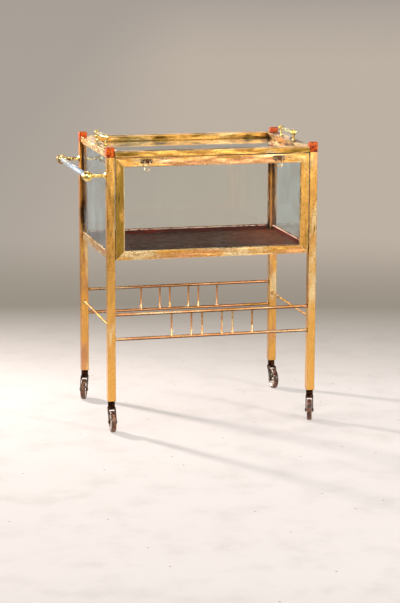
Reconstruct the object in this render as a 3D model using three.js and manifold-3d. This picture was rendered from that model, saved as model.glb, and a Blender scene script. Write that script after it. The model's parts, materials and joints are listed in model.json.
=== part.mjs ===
// A brass serving trolley on four casters: a glazed cabinet with a drop-down front flap,
// a lift-off glass tray between the capped posts, a spindle rack below and a push handle.
// Millimetres, +Z up, +X to the right along the front, +Y to the back, floor at z = 0.
import * as THREE from "three";
import { mergeVertices } from "three/addons/utils/BufferGeometryUtils.js";
import Module from "manifold-3d";

const wasm = await Module();
wasm.setup();

// Driving dimensions
const overallHeight = 800;
const postSpacingX = 582;
const postSpacingY = 394;
const postSide = 22;
const postWall = 1.5;
const capHeight = 28;
const casterHeight = 85;
const cabinetBaseHeight = 485;
const slip = 0.3;
const overrun = 2;

// Posts
const stemPlugHeight = 25;
const channelDepth = 5;
const channelLip = 1.5;

// Post caps
const capOverhang = 0.3;
const capRounding = 2.4;
const capCornerRadius = 2.6;
const capPlugHeight = 12;
const capRoundingSteps = 2;
const capCornerSteps = 3;

// Cabinet rails, floor and panes
const railInset = 6;
const floorRailHeight = 22;
const floorRailWall = 2;
const ledgeWidth = 14;
const ledgeThickness = 2;
const floorPanelThickness = 5;
const paneThickness = 4;
const topRailWidth = 10;
const topRailHeight = 5.3;
const topRailGroove = 3;
const stopRailHeight = 10;
const stopRailDepth = 10;

// Drop-down front flap
const flapRecess = 2;
const flapSideGap = 2.5;
const flapTopGap = 3;
const flapThickness = 6;
const flapFrameWidth = 25;
const flapPaneThickness = 3;
const flapPaneBite = 5;
const pivotPinDiameter = 3;
const pivotPinInFlap = 8;
const pivotPinInPost = 4;
const heelSides = 16;

// Pulls on the flap
const pullInset = 87.5;
const pullPlateLength = 32;
const pullPlateHeight = 11;
const pullPlateThickness = 2;
const pullPlateDrop = 4.5;
const pullScrewInset = 3.5;
const pullScrewDiameter = 4;
const pullScrewRise = 1;
const pullBossWidth = 12.6;
const pullBossHeight = 11;
const pullBossDepth = 6;
const pullRingWidth = 19;
const pullRingDrop = 24;
const pullRingBar = 2.6;
const pullRingCorner = 7.5;
const pullTrunnionDiameter = 1.8;
const pullTrunnionLength = 3;

// Lift-off tray
const trayHeight = 15;
const trayRailWidth = 34;
const traySideInset = 3;
const trayFrontInset = 0.5;
const trayCornerGap = 2;
const traySkin = 1.5;
const trayPadLength = 12;
const trayLipHeight = 8;
const trayLipWall = 3;
const trayPaneThickness = 4;
const trayLedgeThickness = 3;
const trayLedgeWidth = 5;

// Tray handles
const trayHandleInset = 10;
const trayHandleRise = 25;
const trayHandleSpan = 124;
const trayHandleRodDiameter = 12;
const trayFootDiameter = 14;
const trayFootHeight = 2;
const trayPostDiameter = 8;
const trayKnobDiameter = 15;
const trayKnobLength = 13;
const trayKnobDome = 3;

// Push handle
const pushHandleDrop = 79;
const pushHandleReach = 53;
const pushRodDiameter = 15;
const pushArmDiameter = 10.5;
const pushCollarDiameter = 19;
const pushCollarLength = 8;
const pushBodyDiameter = 27;
const pushBodyLength = 26;
const pushBodyDome = 4;

// Rack
const rackTopHeight = 330;
const rackBottomHeight = 260;
const rackSideHeight = 295;
const rackRailDiameter = 9;
const rackSideDiameter = 7;
const spindleDiameter = 5.5;
const spindleWideGap = 57.6;
const spindleNarrowGap = 31;

// Casters
const wheelDiameter = 60;
const wheelWidth = 14;
const wheelCrown = 2.5;
const wheelDish = 2.2;
const wheelRimWidth = 7;
const wheelHubDiameter = 13;
const axleDiameter = 5;
const axleHeadDiameter = 8;
const axleHeadLength = 1.6;
const casterTrail = 22;
const housingDiameter = 19.5;
const housingHeight = 19;
const crownThickness = 4;
const forkWidth = 22;
const forkArm = 3;
const forkArmBack = 8;
const forkArmFront = 12;
const forkBossRadius = 7;
const stemDiameter = 9;
const stemLength = 30;

// Directions in which the casters trail, in degrees from +X
const frontLeftAngle = -93;
const frontRightAngle = -107;
const backLeftAngle = -109;
const backRightAngle = -87;

// Facet counts
const rodSides = 12;
const fineSides = 20;
const wheelSides = 32;
const ringSides = 8;
const ringSteps = 30;
const domeSteps = 4;

// Heights and outlines worked out from the sizes above
const postTop = overallHeight - capHeight;
const pushHandleHeight = overallHeight - pushHandleDrop;
const postX = postSpacingX / 2;
const postY = postSpacingY / 2;
const halfSide = postSide / 2;
const innerX = postX - halfSide;
const innerY = postY - halfSide;
const outerX = postX + halfSide;
const outerY = postY + halfSide;
const cabinetTop = postTop;
const floorTop = cabinetBaseHeight + ledgeThickness + floorPanelThickness;
const floorRailTop = cabinetBaseHeight + floorRailHeight;
const paneTop = cabinetTop - topRailHeight + topRailGroove - slip;
const flapFront = -outerY + flapRecess;
const flapBack = flapFront + flapThickness;
const flapHalfWidth = innerX - flapSideGap;
const flapBottom = cabinetBaseHeight + slip;
const flapTop = cabinetTop - flapTopGap;
const pivotY = flapFront + flapThickness / 2;
const pivotZ = flapBottom + flapThickness / 2;
const stopFace = flapBack + slip;

// Finishes
const finishes = {
  brass: { color: 0xc9913f, roughness: 0.32, metalness: 1 },
  paleBrass: { color: 0xe0c884, roughness: 0.25, metalness: 1 },
  amber: { color: 0xc8481a, roughness: 0.18, metalness: 0 },
  glass: { color: 0xb9c4c2, roughness: 0.05, metalness: 0, transparent: true, opacity: 0.35 },
  rod: { color: 0xdfe8ec, roughness: 0.06, metalness: 0, transparent: true, opacity: 0.6 },
  burgundy: { color: 0x48241c, roughness: 0.16, metalness: 0 },
  bronze: { color: 0x2b1a14, roughness: 0.4, metalness: 1 },
  tread: { color: 0x9a5a30, roughness: 0.5, metalness: 0 },
};

function piece(name, finish, geometry) {
  const mesh = new THREE.Mesh(geometry, new THREE.MeshStandardMaterial(finishes[finish]));
  mesh.name = name;
  return mesh;
}

// A closed geometry as a solid that can be joined and cut
function solid(geometry) {
  const bare = new THREE.BufferGeometry();
  const source = geometry.index ? geometry.toNonIndexed() : geometry;
  bare.setAttribute("position", source.getAttribute("position"));
  const merged = mergeVertices(bare);
  return new wasm.Manifold(
    new wasm.Mesh({
      numProp: 3,
      vertProperties: merged.attributes.position.array,
      triVerts: new Uint32Array(merged.index.array),
    }),
  );
}

function geometryOf(manifold) {
  const mesh = manifold.getMesh();
  const geometry = new THREE.BufferGeometry();
  const positions = new Float32Array(mesh.vertProperties);
  geometry.setAttribute("position", new THREE.BufferAttribute(positions, 3));
  geometry.setIndex(new THREE.BufferAttribute(new Uint32Array(mesh.triVerts), 1));
  geometry.computeVertexNormals();
  return geometry;
}

function join(...geometries) {
  return geometries.map(solid).reduce((whole, next) => whole.add(next));
}

function cut(whole, ...geometries) {
  return geometries.map(solid).reduce((rest, next) => rest.subtract(next), whole);
}

// Low and high end of a width round a centre
function around(centre, width) {
  return [centre - width / 2, centre + width / 2];
}

// The two distances in order, on the side of the middle plane that sign gives
function onSide(sign, near, far) {
  return sign > 0 ? [near, far] : [-far, -near];
}

function block([x0, x1], [y0, y1], [z0, z1]) {
  const box = new THREE.BoxGeometry(x1 - x0, y1 - y0, z1 - z0);
  return box.translate((x0 + x1) / 2, (y0 + y1) / 2, (z0 + z1) / 2);
}

// A round bar from one end to the other along an axis, through the origin of the other two
function bar(axis, diameter, from, to, sides = rodSides) {
  const length = to - from;
  const round = new THREE.CylinderGeometry(diameter / 2, diameter / 2, length, sides);
  round.translate(0, from + length / 2, 0);
  if (axis === "x") round.rotateZ(-Math.PI / 2);
  if (axis === "z") round.rotateX(Math.PI / 2);
  return round;
}

// A turned piece: its profile is radius and distance along the axis
function turned(axis, profile, sides) {
  const points = profile.map(([radius, along]) => new THREE.Vector2(radius, along));
  const lathe = new THREE.LatheGeometry(points, sides);
  if (axis === "z") lathe.rotateX(Math.PI / 2);
  return lathe;
}

// The quarter of a domed end, from its rim to the axis
function dome(radius, base, rise) {
  const points = [];
  for (let step = 1; step <= domeSteps; step++) {
    const angle = ((Math.PI / 2) * step) / domeSteps;
    points.push([step === domeSteps ? 0 : radius * Math.cos(angle), base + rise * Math.sin(angle)]);
  }
  return points;
}

// An outline drawn in X and Z, given depth along +Y
function slab(shape, y0, depth) {
  const plate = new THREE.ExtrudeGeometry(shape, { depth, bevelEnabled: false });
  return plate.rotateX(Math.PI / 2).translate(0, y0 + depth, 0);
}

function outline(points) {
  return new THREE.Shape(points.map(([x, y]) => new THREE.Vector2(x, y)));
}

// Posts, each a square tube with a plug for the caster stem and channels for the panes

function paneChannel(alongX, sign) {
  const gap = paneThickness + 2 * slip;
  const reach = onSide(sign, halfSide - overrun, halfSide + channelDepth);
  const heights = [floorRailTop + slip, cabinetTop - topRailHeight - slip];
  return [-1, 1].map((edge) => {
    const lip = onSide(edge, gap / 2, gap / 2 + channelLip);
    return alongX ? block(reach, lip, heights) : block(lip, reach, heights);
  });
}

function post(name, sideX, sideY) {
  const heights = [casterHeight, postTop];
  const plugTop = casterHeight + stemPlugHeight;
  const bore = around(0, postSide - 2 * postWall);
  const channels = paneChannel(false, -sideY);
  if (sideY > 0) channels.push(...paneChannel(true, -sideX));
  const body = join(block(around(0, postSide), around(0, postSide), heights), ...channels);
  const stemBore = stemDiameter + 2 * slip;
  let tube = cut(
    body,
    block(bore, bore, [plugTop, postTop + overrun]),
    bar("z", stemBore, casterHeight - overrun, plugTop + overrun),
  );
  if (sideY < 0) {
    const reach = onSide(-sideX, halfSide - postWall - overrun, halfSide + overrun);
    const pinHole = bar("x", pivotPinDiameter + 2 * slip, ...reach);
    tube = cut(tube, pinHole.translate(0, pivotY + postY, pivotZ));
  }
  const mesh = piece(`post_${name}`, "brass", geometryOf(tube));
  mesh.position.set(sideX * postX, sideY * postY, 0);
  return mesh;
}

function postCap(name, sideX, sideY) {
  const half = halfSide + capOverhang;
  const core = half - capCornerRadius;
  const square = new THREE.Shape();
  [[core, core], [-core, core], [-core, -core], [core, -core]].forEach(([x, y], quarter) => {
    const angle = (quarter * Math.PI) / 2;
    square.absarc(x, y, capCornerRadius, angle, angle + Math.PI / 2, false);
  });
  const head = new THREE.ExtrudeGeometry(square, {
    depth: capHeight - capRounding + overrun,
    curveSegments: capCornerSteps,
    bevelSize: capRounding,
    bevelThickness: capRounding,
    bevelOffset: -capRounding,
    bevelSegments: capRoundingSteps,
  });
  head.translate(0, 0, -overrun);
  const wide = around(0, 2 * (half + overrun));
  const below = block(wide, wide, [-capHeight, 0]);
  const plug = around(0, postSide - 2 * (postWall + slip));
  const cap = cut(solid(head), below).add(solid(block(plug, plug, [-capPlugHeight, overrun])));
  const mesh = piece(`post_cap_${name}`, "amber", geometryOf(cap));
  mesh.position.set(sideX * postX, sideY * postY, postTop);
  return mesh;
}

// Cabinet

// An angle section along X: its wall faces -Y at y = 0 and its ledge lies behind
function angleRail(halfLength) {
  const section = [
    block([-halfLength, halfLength], [0, floorRailWall], [cabinetBaseHeight, floorRailTop]),
    block(
      [-halfLength, halfLength],
      [0, ledgeWidth],
      [cabinetBaseHeight, cabinetBaseHeight + ledgeThickness],
    ),
  ];
  return geometryOf(join(...section));
}

// A grooved rail along X on top of a fixed pane
function grooveRail(halfLength) {
  const base = cabinetTop - topRailHeight;
  const rail = block([-halfLength, halfLength], around(0, topRailWidth), [base, cabinetTop]);
  const groove = block(
    [-halfLength - overrun, halfLength + overrun],
    around(0, paneThickness + 2 * slip),
    [base - overrun, base + topRailGroove],
  );
  return geometryOf(cut(solid(rail), groove));
}

function place(mesh, x, y, turn = 0) {
  mesh.position.set(x, y, 0);
  mesh.rotation.z = turn;
  return mesh;
}

function floorPanel() {
  const edgeX = outerX - railInset - floorRailWall - slip;
  const back = outerY - railInset - floorRailWall - slip;
  const front = stopFace + floorRailWall + slip;
  const cornerX = innerX - slip;
  const cornerY = innerY - slip;
  const shape = outline([
    [-cornerX, front],
    [cornerX, front],
    [cornerX, -cornerY],
    [edgeX, -cornerY],
    [edgeX, cornerY],
    [cornerX, cornerY],
    [cornerX, back],
    [-cornerX, back],
    [-cornerX, cornerY],
    [-edgeX, cornerY],
    [-edgeX, -cornerY],
    [-cornerX, -cornerY],
  ]);
  const panel = new THREE.ExtrudeGeometry(shape, {
    depth: floorPanelThickness,
    bevelEnabled: false,
  });
  return panel.translate(0, 0, cabinetBaseHeight + ledgeThickness);
}

function cabinet() {
  const group = new THREE.Group();
  const quarter = Math.PI / 2;
  const railX = outerX - railInset;
  const railY = outerY - railInset;
  group.add(piece("cabinet_floor_panel", "burgundy", floorPanel()));
  group.add(place(piece("floor_rail_front", "brass", angleRail(innerX)), 0, stopFace));
  group.add(place(piece("floor_rail_back", "brass", angleRail(innerX)), 0, railY, Math.PI));
  group.add(place(piece("floor_rail_left", "brass", angleRail(innerY)), -railX, 0, -quarter));
  group.add(place(piece("floor_rail_right", "brass", angleRail(innerY)), railX, 0, quarter));
  group.add(place(piece("top_rail_back", "brass", grooveRail(innerX)), 0, postY));
  group.add(place(piece("top_rail_left", "brass", grooveRail(innerY)), -postX, 0, quarter));
  group.add(place(piece("top_rail_right", "brass", grooveRail(innerY)), postX, 0, quarter));
  const stop = block(
    [-innerX, innerX],
    [stopFace, stopFace + stopRailDepth],
    [cabinetTop - stopRailHeight, cabinetTop],
  );
  group.add(piece("top_rail_front", "brass", stop));
  const heights = [floorTop, paneTop];
  const backPane = block(around(0, 2 * (innerX - slip)), around(postY, paneThickness), heights);
  group.add(piece("pane_back", "glass", backPane));
  const depth = around(0, 2 * (innerY - slip));
  group.add(piece("pane_left", "glass", block(around(-postX, paneThickness), depth, heights)));
  group.add(piece("pane_right", "glass", block(around(postX, paneThickness), depth, heights)));
  return group;
}

// Drop-down flap, a mitred frame round a pane, turning on two pins at its lower corners

// What rounds the lower back edge, so that it clears the rail behind as the flap turns
function heelCutter() {
  const half = flapThickness / 2;
  const width = around(0, 2 * (flapHalfWidth + overrun));
  const corner = block(width, [pivotY, flapBack + overrun], [flapBottom - overrun, pivotZ]);
  const round = bar("x", 2 * half, ...width, heelSides).translate(0, pivotY, pivotZ);
  return geometryOf(solid(corner).subtract(solid(round)));
}

function flapMember(points) {
  const pocket = block(
    around(0, 2 * (flapHalfWidth - flapFrameWidth + flapPaneBite)),
    around(pivotY, flapPaneThickness + slip),
    [flapBottom + flapFrameWidth - flapPaneBite, flapTop - flapFrameWidth + flapPaneBite],
  );
  const pinHole = pivotPinDiameter + slip;
  const holes = [-1, 1].map((side) => {
    const reach = onSide(side, flapHalfWidth - pivotPinInFlap, flapHalfWidth + overrun);
    return bar("x", pinHole, ...reach).translate(0, pivotY, pivotZ);
  });
  const blank = solid(slab(outline(points), flapFront, flapThickness));
  return geometryOf(cut(blank, pocket, heelCutter(), ...holes));
}

function flapFrame() {
  const x = flapHalfWidth;
  const inX = flapHalfWidth - flapFrameWidth;
  const low = flapBottom + flapFrameWidth;
  const high = flapTop - flapFrameWidth;
  const bottom = [[-x, flapBottom], [x, flapBottom], [inX, low], [-inX, low]];
  const top = [[x, flapTop], [-x, flapTop], [-inX, high], [inX, high]];
  const left = [[-x, flapTop], [-x, flapBottom], [-inX, low], [-inX, high]];
  const right = [[x, flapBottom], [x, flapTop], [inX, high], [inX, low]];
  return [
    piece("flap_rail_bottom", "brass", flapMember(bottom)),
    piece("flap_rail_top", "brass", flapMember(top)),
    piece("flap_stile_left", "brass", flapMember(left)),
    piece("flap_stile_right", "brass", flapMember(right)),
  ];
}

function flapPane() {
  const bite = flapPaneBite - slip;
  const pane = block(
    around(0, 2 * (flapHalfWidth - flapFrameWidth + bite)),
    around(pivotY, flapPaneThickness),
    [flapBottom + flapFrameWidth - bite, flapTop - flapFrameWidth + bite],
  );
  return piece("flap_pane", "glass", pane);
}

function pivotPin(name, side) {
  const inner = flapHalfWidth - pivotPinInFlap + slip;
  const outer = innerX + pivotPinInPost;
  const pin = bar("x", pivotPinDiameter, ...onSide(side, inner, outer));
  const mesh = piece(`flap_pivot_pin_${name}`, "brass", pin);
  mesh.position.set(0, pivotY, pivotZ);
  return mesh;
}

// Pulls: a plate with a boss, and a drop ring that swings on two stubs in the boss

const pullOffset = flapHalfWidth - pullInset;
const pullZ = flapTop - pullPlateDrop - pullPlateHeight / 2;
const pullAxisY = flapFront - pullPlateThickness - pullBossDepth / 2;
const pullAxisZ = pullZ - slip;

function pullPlate(name, side) {
  const plate = block(
    around(0, pullPlateLength),
    [flapFront - pullPlateThickness, flapFront],
    around(pullZ, pullPlateHeight),
  );
  const boss = block(
    around(0, pullBossWidth),
    [flapFront - pullPlateThickness - pullBossDepth, flapFront - slip],
    around(pullZ, pullBossHeight),
  );
  const screwX = pullPlateLength / 2 - pullScrewInset;
  const face = flapFront - pullPlateThickness;
  const screws = [-1, 1].map((end) => {
    const head = bar("y", pullScrewDiameter, face - pullScrewRise, flapFront - slip);
    return head.translate(end * screwX, 0, pullZ);
  });
  const reach = around(0, pullBossWidth + 2 * overrun);
  const bore = bar("x", pullTrunnionDiameter + 2 * slip, ...reach);
  const body = cut(join(plate, boss, ...screws), bore.translate(0, pullAxisY, pullAxisZ));
  const mesh = piece(`pull_plate_${name}`, "brass", geometryOf(body));
  mesh.position.x = side * pullOffset;
  return mesh;
}

function pullRing(name, side) {
  const half = (pullRingWidth - pullRingBar) / 2;
  const low = -pullRingDrop;
  const path = new THREE.CurvePath();
  const at = (x, z) => new THREE.Vector3(x, 0, z);
  const bend = pullRingCorner;
  path.add(new THREE.LineCurve3(at(-half, pullRingBar / 2), at(-half, low + bend)));
  path.add(
    new THREE.QuadraticBezierCurve3(at(-half, low + bend), at(-half, low), at(bend - half, low)),
  );
  path.add(new THREE.LineCurve3(at(bend - half, low), at(half - bend, low)));
  path.add(
    new THREE.QuadraticBezierCurve3(at(half - bend, low), at(half, low), at(half, low + bend)),
  );
  path.add(new THREE.LineCurve3(at(half, low + bend), at(half, pullRingBar / 2)));
  const section = new THREE.Shape();
  section.absarc(0, 0, pullRingBar / 2, 0, 2 * Math.PI, false);
  const loop = new THREE.ExtrudeGeometry(section, {
    extrudePath: path,
    steps: ringSteps,
    curveSegments: ringSides / 2,
    bevelEnabled: false,
  });
  const stubs = [-1, 1].map((end) => {
    const reach = onSide(end, pullBossWidth / 2 - pullTrunnionLength, half);
    return bar("x", pullTrunnionDiameter, ...reach, ringSides);
  });
  const mesh = piece(`pull_ring_${name}`, "paleBrass", geometryOf(join(loop, ...stubs)));
  mesh.position.set(side * pullOffset, pullAxisY, pullAxisZ);
  return mesh;
}

function flap() {
  const group = new THREE.Group();
  group.add(...flapFrame(), flapPane());
  [["left", -1], ["right", 1]].forEach(([name, side]) => {
    group.add(pivotPin(name, side), pullPlate(name, side), pullRing(name, side));
  });
  return group;
}

// Lift-off tray, notched round the caps, with a lip below whose ledge carries its pane

const trayX = outerX - traySideInset;
const trayY = outerY - trayFrontInset;
const notchX = innerX - trayCornerGap;
const notchY = innerY - trayCornerGap;
const openX = trayX - trayRailWidth;
const openY = trayY - trayRailWidth;
const trayTop = postTop + trayHeight;
const trayLipBottom = postTop - trayLipHeight;
const trayPaneBottom = trayLipBottom + trayLedgeThickness;

function centredBlock(halfX, halfY, heights) {
  return block([-halfX, halfX], [-halfY, halfY], heights);
}

// The hollow under one rail: a room above the lip and the slot that opens it below
function trayHollow(sideX, sideY) {
  const heights = [postTop + traySkin, trayTop - traySkin];
  const mouth = [postTop - overrun, trayTop - 2 * traySkin];
  if (sideX) {
    const length = around(0, 2 * (notchY - trayPadLength));
    return [
      block(onSide(sideX, openX + traySkin, trayX - traySkin), length, heights),
      block(onSide(sideX, notchX + traySkin, trayX - traySkin), length, mouth),
    ];
  }
  const length = around(0, 2 * (notchX - trayPadLength));
  return [
    block(length, onSide(sideY, openY + traySkin, trayY - traySkin), heights),
    block(length, onSide(sideY, notchY + traySkin, trayY - traySkin), mouth),
  ];
}

function trayFrame() {
  const body = join(
    centredBlock(trayX, notchY, [postTop, trayTop]),
    centredBlock(notchX, trayY, [postTop, trayTop]),
    centredBlock(openX + trayLipWall, openY + trayLipWall, [trayLipBottom, postTop + overrun]),
  );
  const frame = cut(
    body,
    centredBlock(openX, openY, [trayPaneBottom, trayTop + overrun]),
    centredBlock(
      openX - trayLedgeWidth,
      openY - trayLedgeWidth,
      [trayLipBottom - overrun, trayPaneBottom + overrun],
    ),
    ...trayHollow(-1, 0),
    ...trayHollow(1, 0),
    ...trayHollow(0, -1),
    ...trayHollow(0, 1),
  );
  return piece("tray_frame", "brass", geometryOf(frame));
}

function trayPane() {
  const heights = [trayPaneBottom, trayPaneBottom + trayPaneThickness];
  return piece("tray_pane", "glass", centredBlock(openX - slip, openY - slip, heights));
}

const trayHandleX = openX + trayHandleInset;
const trayHandleZ = trayTop + trayHandleRise;
const trayRodHalf = (trayHandleSpan - trayKnobLength) / 2;

// A handle post: a foot, a stem and a knob whose domed end faces away from the rod
function trayHandlePost(name, end) {
  const radius = trayKnobDiameter / 2;
  const half = trayKnobLength / 2;
  const knob = turned(
    "y",
    [[0, -half], [radius, -half], [radius, half], ...dome(radius, half, trayKnobDome)],
    fineSides,
  );
  if (end < 0) knob.rotateX(Math.PI);
  const foot = bar("z", trayFootDiameter, trayTop - trayHandleZ, trayFootHeight - trayHandleRise);
  const stem = bar("z", trayPostDiameter, trayTop - trayHandleZ, 0);
  return piece(name, "paleBrass", geometryOf(join(foot, stem, knob)));
}

function trayHandle(name, side) {
  const group = new THREE.Group();
  const rod = bar("y", trayHandleRodDiameter, -trayRodHalf, trayRodHalf);
  group.add(piece(`tray_handle_rod_${name}`, "rod", rod));
  [["front", -1], ["back", 1]].forEach(([where, end]) => {
    const support = trayHandlePost(`tray_handle_post_${name}_${where}`, end);
    support.position.y = (end * trayHandleSpan) / 2;
    group.add(support);
  });
  group.position.set(side * trayHandleX, 0, trayHandleZ);
  return group;
}

function tray() {
  const group = new THREE.Group();
  group.add(trayFrame(), trayPane(), trayHandle("left", -1), trayHandle("right", 1));
  return group;
}

// Push handle on the left end: two brackets with a glass rod between them

function pushBracket(name, end) {
  const radius = pushBodyDiameter / 2;
  const collar = pushCollarDiameter / 2;
  const half = pushBodyLength / 2;
  const start = -half - pushCollarLength;
  const fitting = turned(
    "y",
    [[0, start], [collar, start], [collar, -half], [radius, -half], [radius, half]].concat(
      dome(radius, half, pushBodyDome),
    ),
    fineSides,
  );
  if (end < 0) fitting.rotateX(Math.PI);
  const arm = bar("x", pushArmDiameter, 0, pushHandleReach);
  const mesh = piece(`push_handle_bracket_${name}`, "brass", geometryOf(join(fitting, arm)));
  mesh.position.y = end * postY;
  return mesh;
}

function pushHandle() {
  const group = new THREE.Group();
  const half = postY - pushBodyLength / 2 - pushCollarLength;
  const rod = bar("y", pushRodDiameter, -half, half, fineSides);
  group.add(pushBracket("front", -1), pushBracket("back", 1));
  group.add(piece("push_handle_rod", "rod", rod));
  group.position.set(-outerX - pushHandleReach, 0, pushHandleHeight);
  return group;
}

// Rack: two rails at the front and back, the lower with spindles, and a rod at each side

function spindlePlaces() {
  const first = spindleWideGap / 2;
  const second = first + spindleNarrowGap;
  const third = second + spindleWideGap;
  return [-third, -second, -first, first, second, third];
}

function spindleRail() {
  const rise = rackTopHeight - rackBottomHeight - rackRailDiameter / 2 - slip;
  const spindles = spindlePlaces().map((x) => {
    return bar("z", spindleDiameter, 0, rise).translate(x, 0, 0);
  });
  return geometryOf(join(bar("x", rackRailDiameter, -innerX, innerX), ...spindles));
}

function rack() {
  const group = new THREE.Group();
  [["front", -1], ["back", 1]].forEach(([name, side]) => {
    const upper = bar("x", rackRailDiameter, -innerX, innerX);
    const top = piece(`rack_top_rail_${name}`, "brass", upper);
    top.position.set(0, side * postY, rackTopHeight);
    const lower = piece(`rack_spindle_rail_${name}`, "brass", spindleRail());
    lower.position.set(0, side * postY, rackBottomHeight);
    group.add(top, lower);
  });
  [["left", -1], ["right", 1]].forEach(([name, side]) => {
    const along = bar("y", rackSideDiameter, -innerY, innerY);
    const rod = piece(`rack_side_rod_${name}`, "brass", along);
    rod.position.set(side * postX, 0, rackSideHeight);
    group.add(rod);
  });
  return group;
}

// Casters, each swivelling about its post's axis with the wheel trailing along local +X

const axleZ = wheelDiameter / 2;
const crownTop = casterHeight - slip - housingHeight;

function forkArmOutline() {
  const shape = new THREE.Shape();
  shape.moveTo(-forkArmBack, crownTop);
  shape.lineTo(casterTrail - forkBossRadius, axleZ);
  shape.absarc(casterTrail, axleZ, forkBossRadius, Math.PI, 2 * Math.PI, false);
  shape.lineTo(forkArmFront, crownTop);
  return shape;
}

function casterFork(name) {
  const half = forkWidth / 2;
  const crown = block(
    [-forkArmBack, forkArmFront],
    [-half, half],
    [crownTop - crownThickness, crownTop],
  );
  const arms = [-half, half - forkArm].map((y) => slab(forkArmOutline(), y, forkArm));
  const housing = bar("z", housingDiameter, crownTop - slip, crownTop + housingHeight, fineSides);
  const stem = bar("z", stemDiameter, crownTop, casterHeight + stemLength);
  const reach = around(0, forkWidth + 2 * overrun);
  const hole = bar("y", axleDiameter + 2 * slip, ...reach).translate(casterTrail, 0, axleZ);
  const fork = cut(join(crown, ...arms, housing, stem), hole);
  return piece(`caster_fork_${name}`, "bronze", geometryOf(fork));
}

function casterAxle(name) {
  const half = forkWidth / 2 + slip;
  const shank = bar("y", axleDiameter, -half, half);
  const heads = [-half - axleHeadLength, half].map((y) => {
    return bar("y", axleHeadDiameter, y, y + axleHeadLength);
  });
  const mesh = piece(`caster_axle_${name}`, "bronze", geometryOf(join(shank, ...heads)));
  mesh.position.set(casterTrail, 0, axleZ);
  return mesh;
}

// The wheel stands on one of its facets, so its flats lie on the nominal diameter
function casterWheel(name) {
  const radius = wheelDiameter / 2 / Math.cos(Math.PI / wheelSides);
  const half = wheelWidth / 2;
  const bore = axleDiameter / 2 + slip;
  const hub = wheelHubDiameter / 2;
  const rim = radius - wheelRimWidth;
  const profile = [
    [bore, -half],
    [hub, -half],
    [hub, wheelDish - half],
    [rim, wheelDish - half],
    [rim, -half],
    [radius - wheelCrown, -half],
    [radius, wheelCrown - half],
    [radius, half - wheelCrown],
    [radius - wheelCrown, half],
    [rim, half],
    [rim, half - wheelDish],
    [hub, half - wheelDish],
    [hub, half],
    [bore, half],
    [bore, -half],
  ];
  const wheel = turned("y", profile, wheelSides);
  wheel.rotateY(Math.PI / wheelSides);
  const mesh = piece(`caster_wheel_${name}`, "tread", wheel);
  mesh.position.set(casterTrail, 0, axleZ);
  return mesh;
}

function caster(name, sideX, sideY, angle) {
  const group = new THREE.Group();
  group.add(casterFork(name), casterAxle(name), casterWheel(name));
  group.position.set(sideX * postX, sideY * postY, 0);
  group.rotation.z = THREE.MathUtils.degToRad(angle);
  return group;
}

// The whole trolley, with its origin on the floor at the middle of its bounding box
const corners = [
  ["front_left", -1, -1, frontLeftAngle],
  ["front_right", 1, -1, frontRightAngle],
  ["back_left", -1, 1, backLeftAngle],
  ["back_right", 1, 1, backRightAngle],
];

const trolley = new THREE.Group();
corners.forEach((corner) => trolley.add(post(...corner), postCap(...corner), caster(...corner)));
trolley.add(cabinet(), flap(), tray(), pushHandle(), rack());

const middle = new THREE.Box3().setFromObject(trolley, true).getCenter(new THREE.Vector3());
trolley.position.set(-middle.x, -middle.y, 0);

const root = new THREE.Group();
root.add(trolley);

export default root;
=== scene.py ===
import json
import math

import bmesh
import bpy
from mathutils import Matrix, Vector


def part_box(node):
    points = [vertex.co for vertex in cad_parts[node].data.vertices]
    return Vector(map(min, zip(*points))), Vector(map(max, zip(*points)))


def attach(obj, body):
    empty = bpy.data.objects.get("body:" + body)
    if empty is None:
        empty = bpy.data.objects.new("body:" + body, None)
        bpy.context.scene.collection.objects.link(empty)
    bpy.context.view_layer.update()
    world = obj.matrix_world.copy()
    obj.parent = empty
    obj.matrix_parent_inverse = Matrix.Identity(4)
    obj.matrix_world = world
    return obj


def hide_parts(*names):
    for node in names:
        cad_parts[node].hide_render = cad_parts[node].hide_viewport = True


# Serving trolley in aged brass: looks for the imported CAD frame, in metres

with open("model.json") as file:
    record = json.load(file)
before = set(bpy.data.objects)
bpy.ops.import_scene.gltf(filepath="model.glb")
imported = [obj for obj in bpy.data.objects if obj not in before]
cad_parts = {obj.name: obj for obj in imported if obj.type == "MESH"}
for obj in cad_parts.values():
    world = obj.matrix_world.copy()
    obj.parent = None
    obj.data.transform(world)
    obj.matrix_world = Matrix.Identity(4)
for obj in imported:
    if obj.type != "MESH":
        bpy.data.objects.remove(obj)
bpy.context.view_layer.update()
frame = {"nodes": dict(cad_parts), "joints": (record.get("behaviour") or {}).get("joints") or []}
nodes = frame["nodes"]
joints = {joint["name"]: joint for joint in frame["joints"]}
corners = ("front_left", "front_right", "back_left", "back_right")
mm = 0.001
along = {"x": Vector((1, 0, 0)), "y": Vector((0, 1, 0)), "z": Vector((0, 0, 1))}
boardTop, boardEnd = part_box("cabinet_floor_panel")[1].z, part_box("cabinet_floor_panel")[1].x
print("frame loaded:", len(nodes), "nodes")


# Small helpers: selection, edit mode, pieces

mergeWithin = {"turned": 0.01 * mm, "cadCopy": 0.02 * mm}
sameFace = math.radians(0.5)  # faces of a CAD node that lie flatter than this become one


def deselectAll():
    bpy.ops.object.select_all(action="DESELECT")


def activate(piece):
    deselectAll()
    piece.select_set(True)
    bpy.context.view_layer.objects.active = piece


def edit(piece, action="DESELECT"):
    activate(piece)
    bpy.ops.object.mode_set(mode="EDIT")
    bpy.ops.mesh.select_all(action=action)


def leaveEdit():
    bpy.ops.object.mode_set(mode="OBJECT")


def pickFaces(piece, test):  # selects the faces whose normal passes
    shape = bmesh.from_edit_mesh(piece.data)
    bpy.context.tool_settings.mesh_select_mode = (False, False, True)
    for face in shape.faces:
        face.select_set(test(face.normal))
    shape.select_flush_mode()
    bmesh.update_edit_mesh(piece.data)


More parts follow.
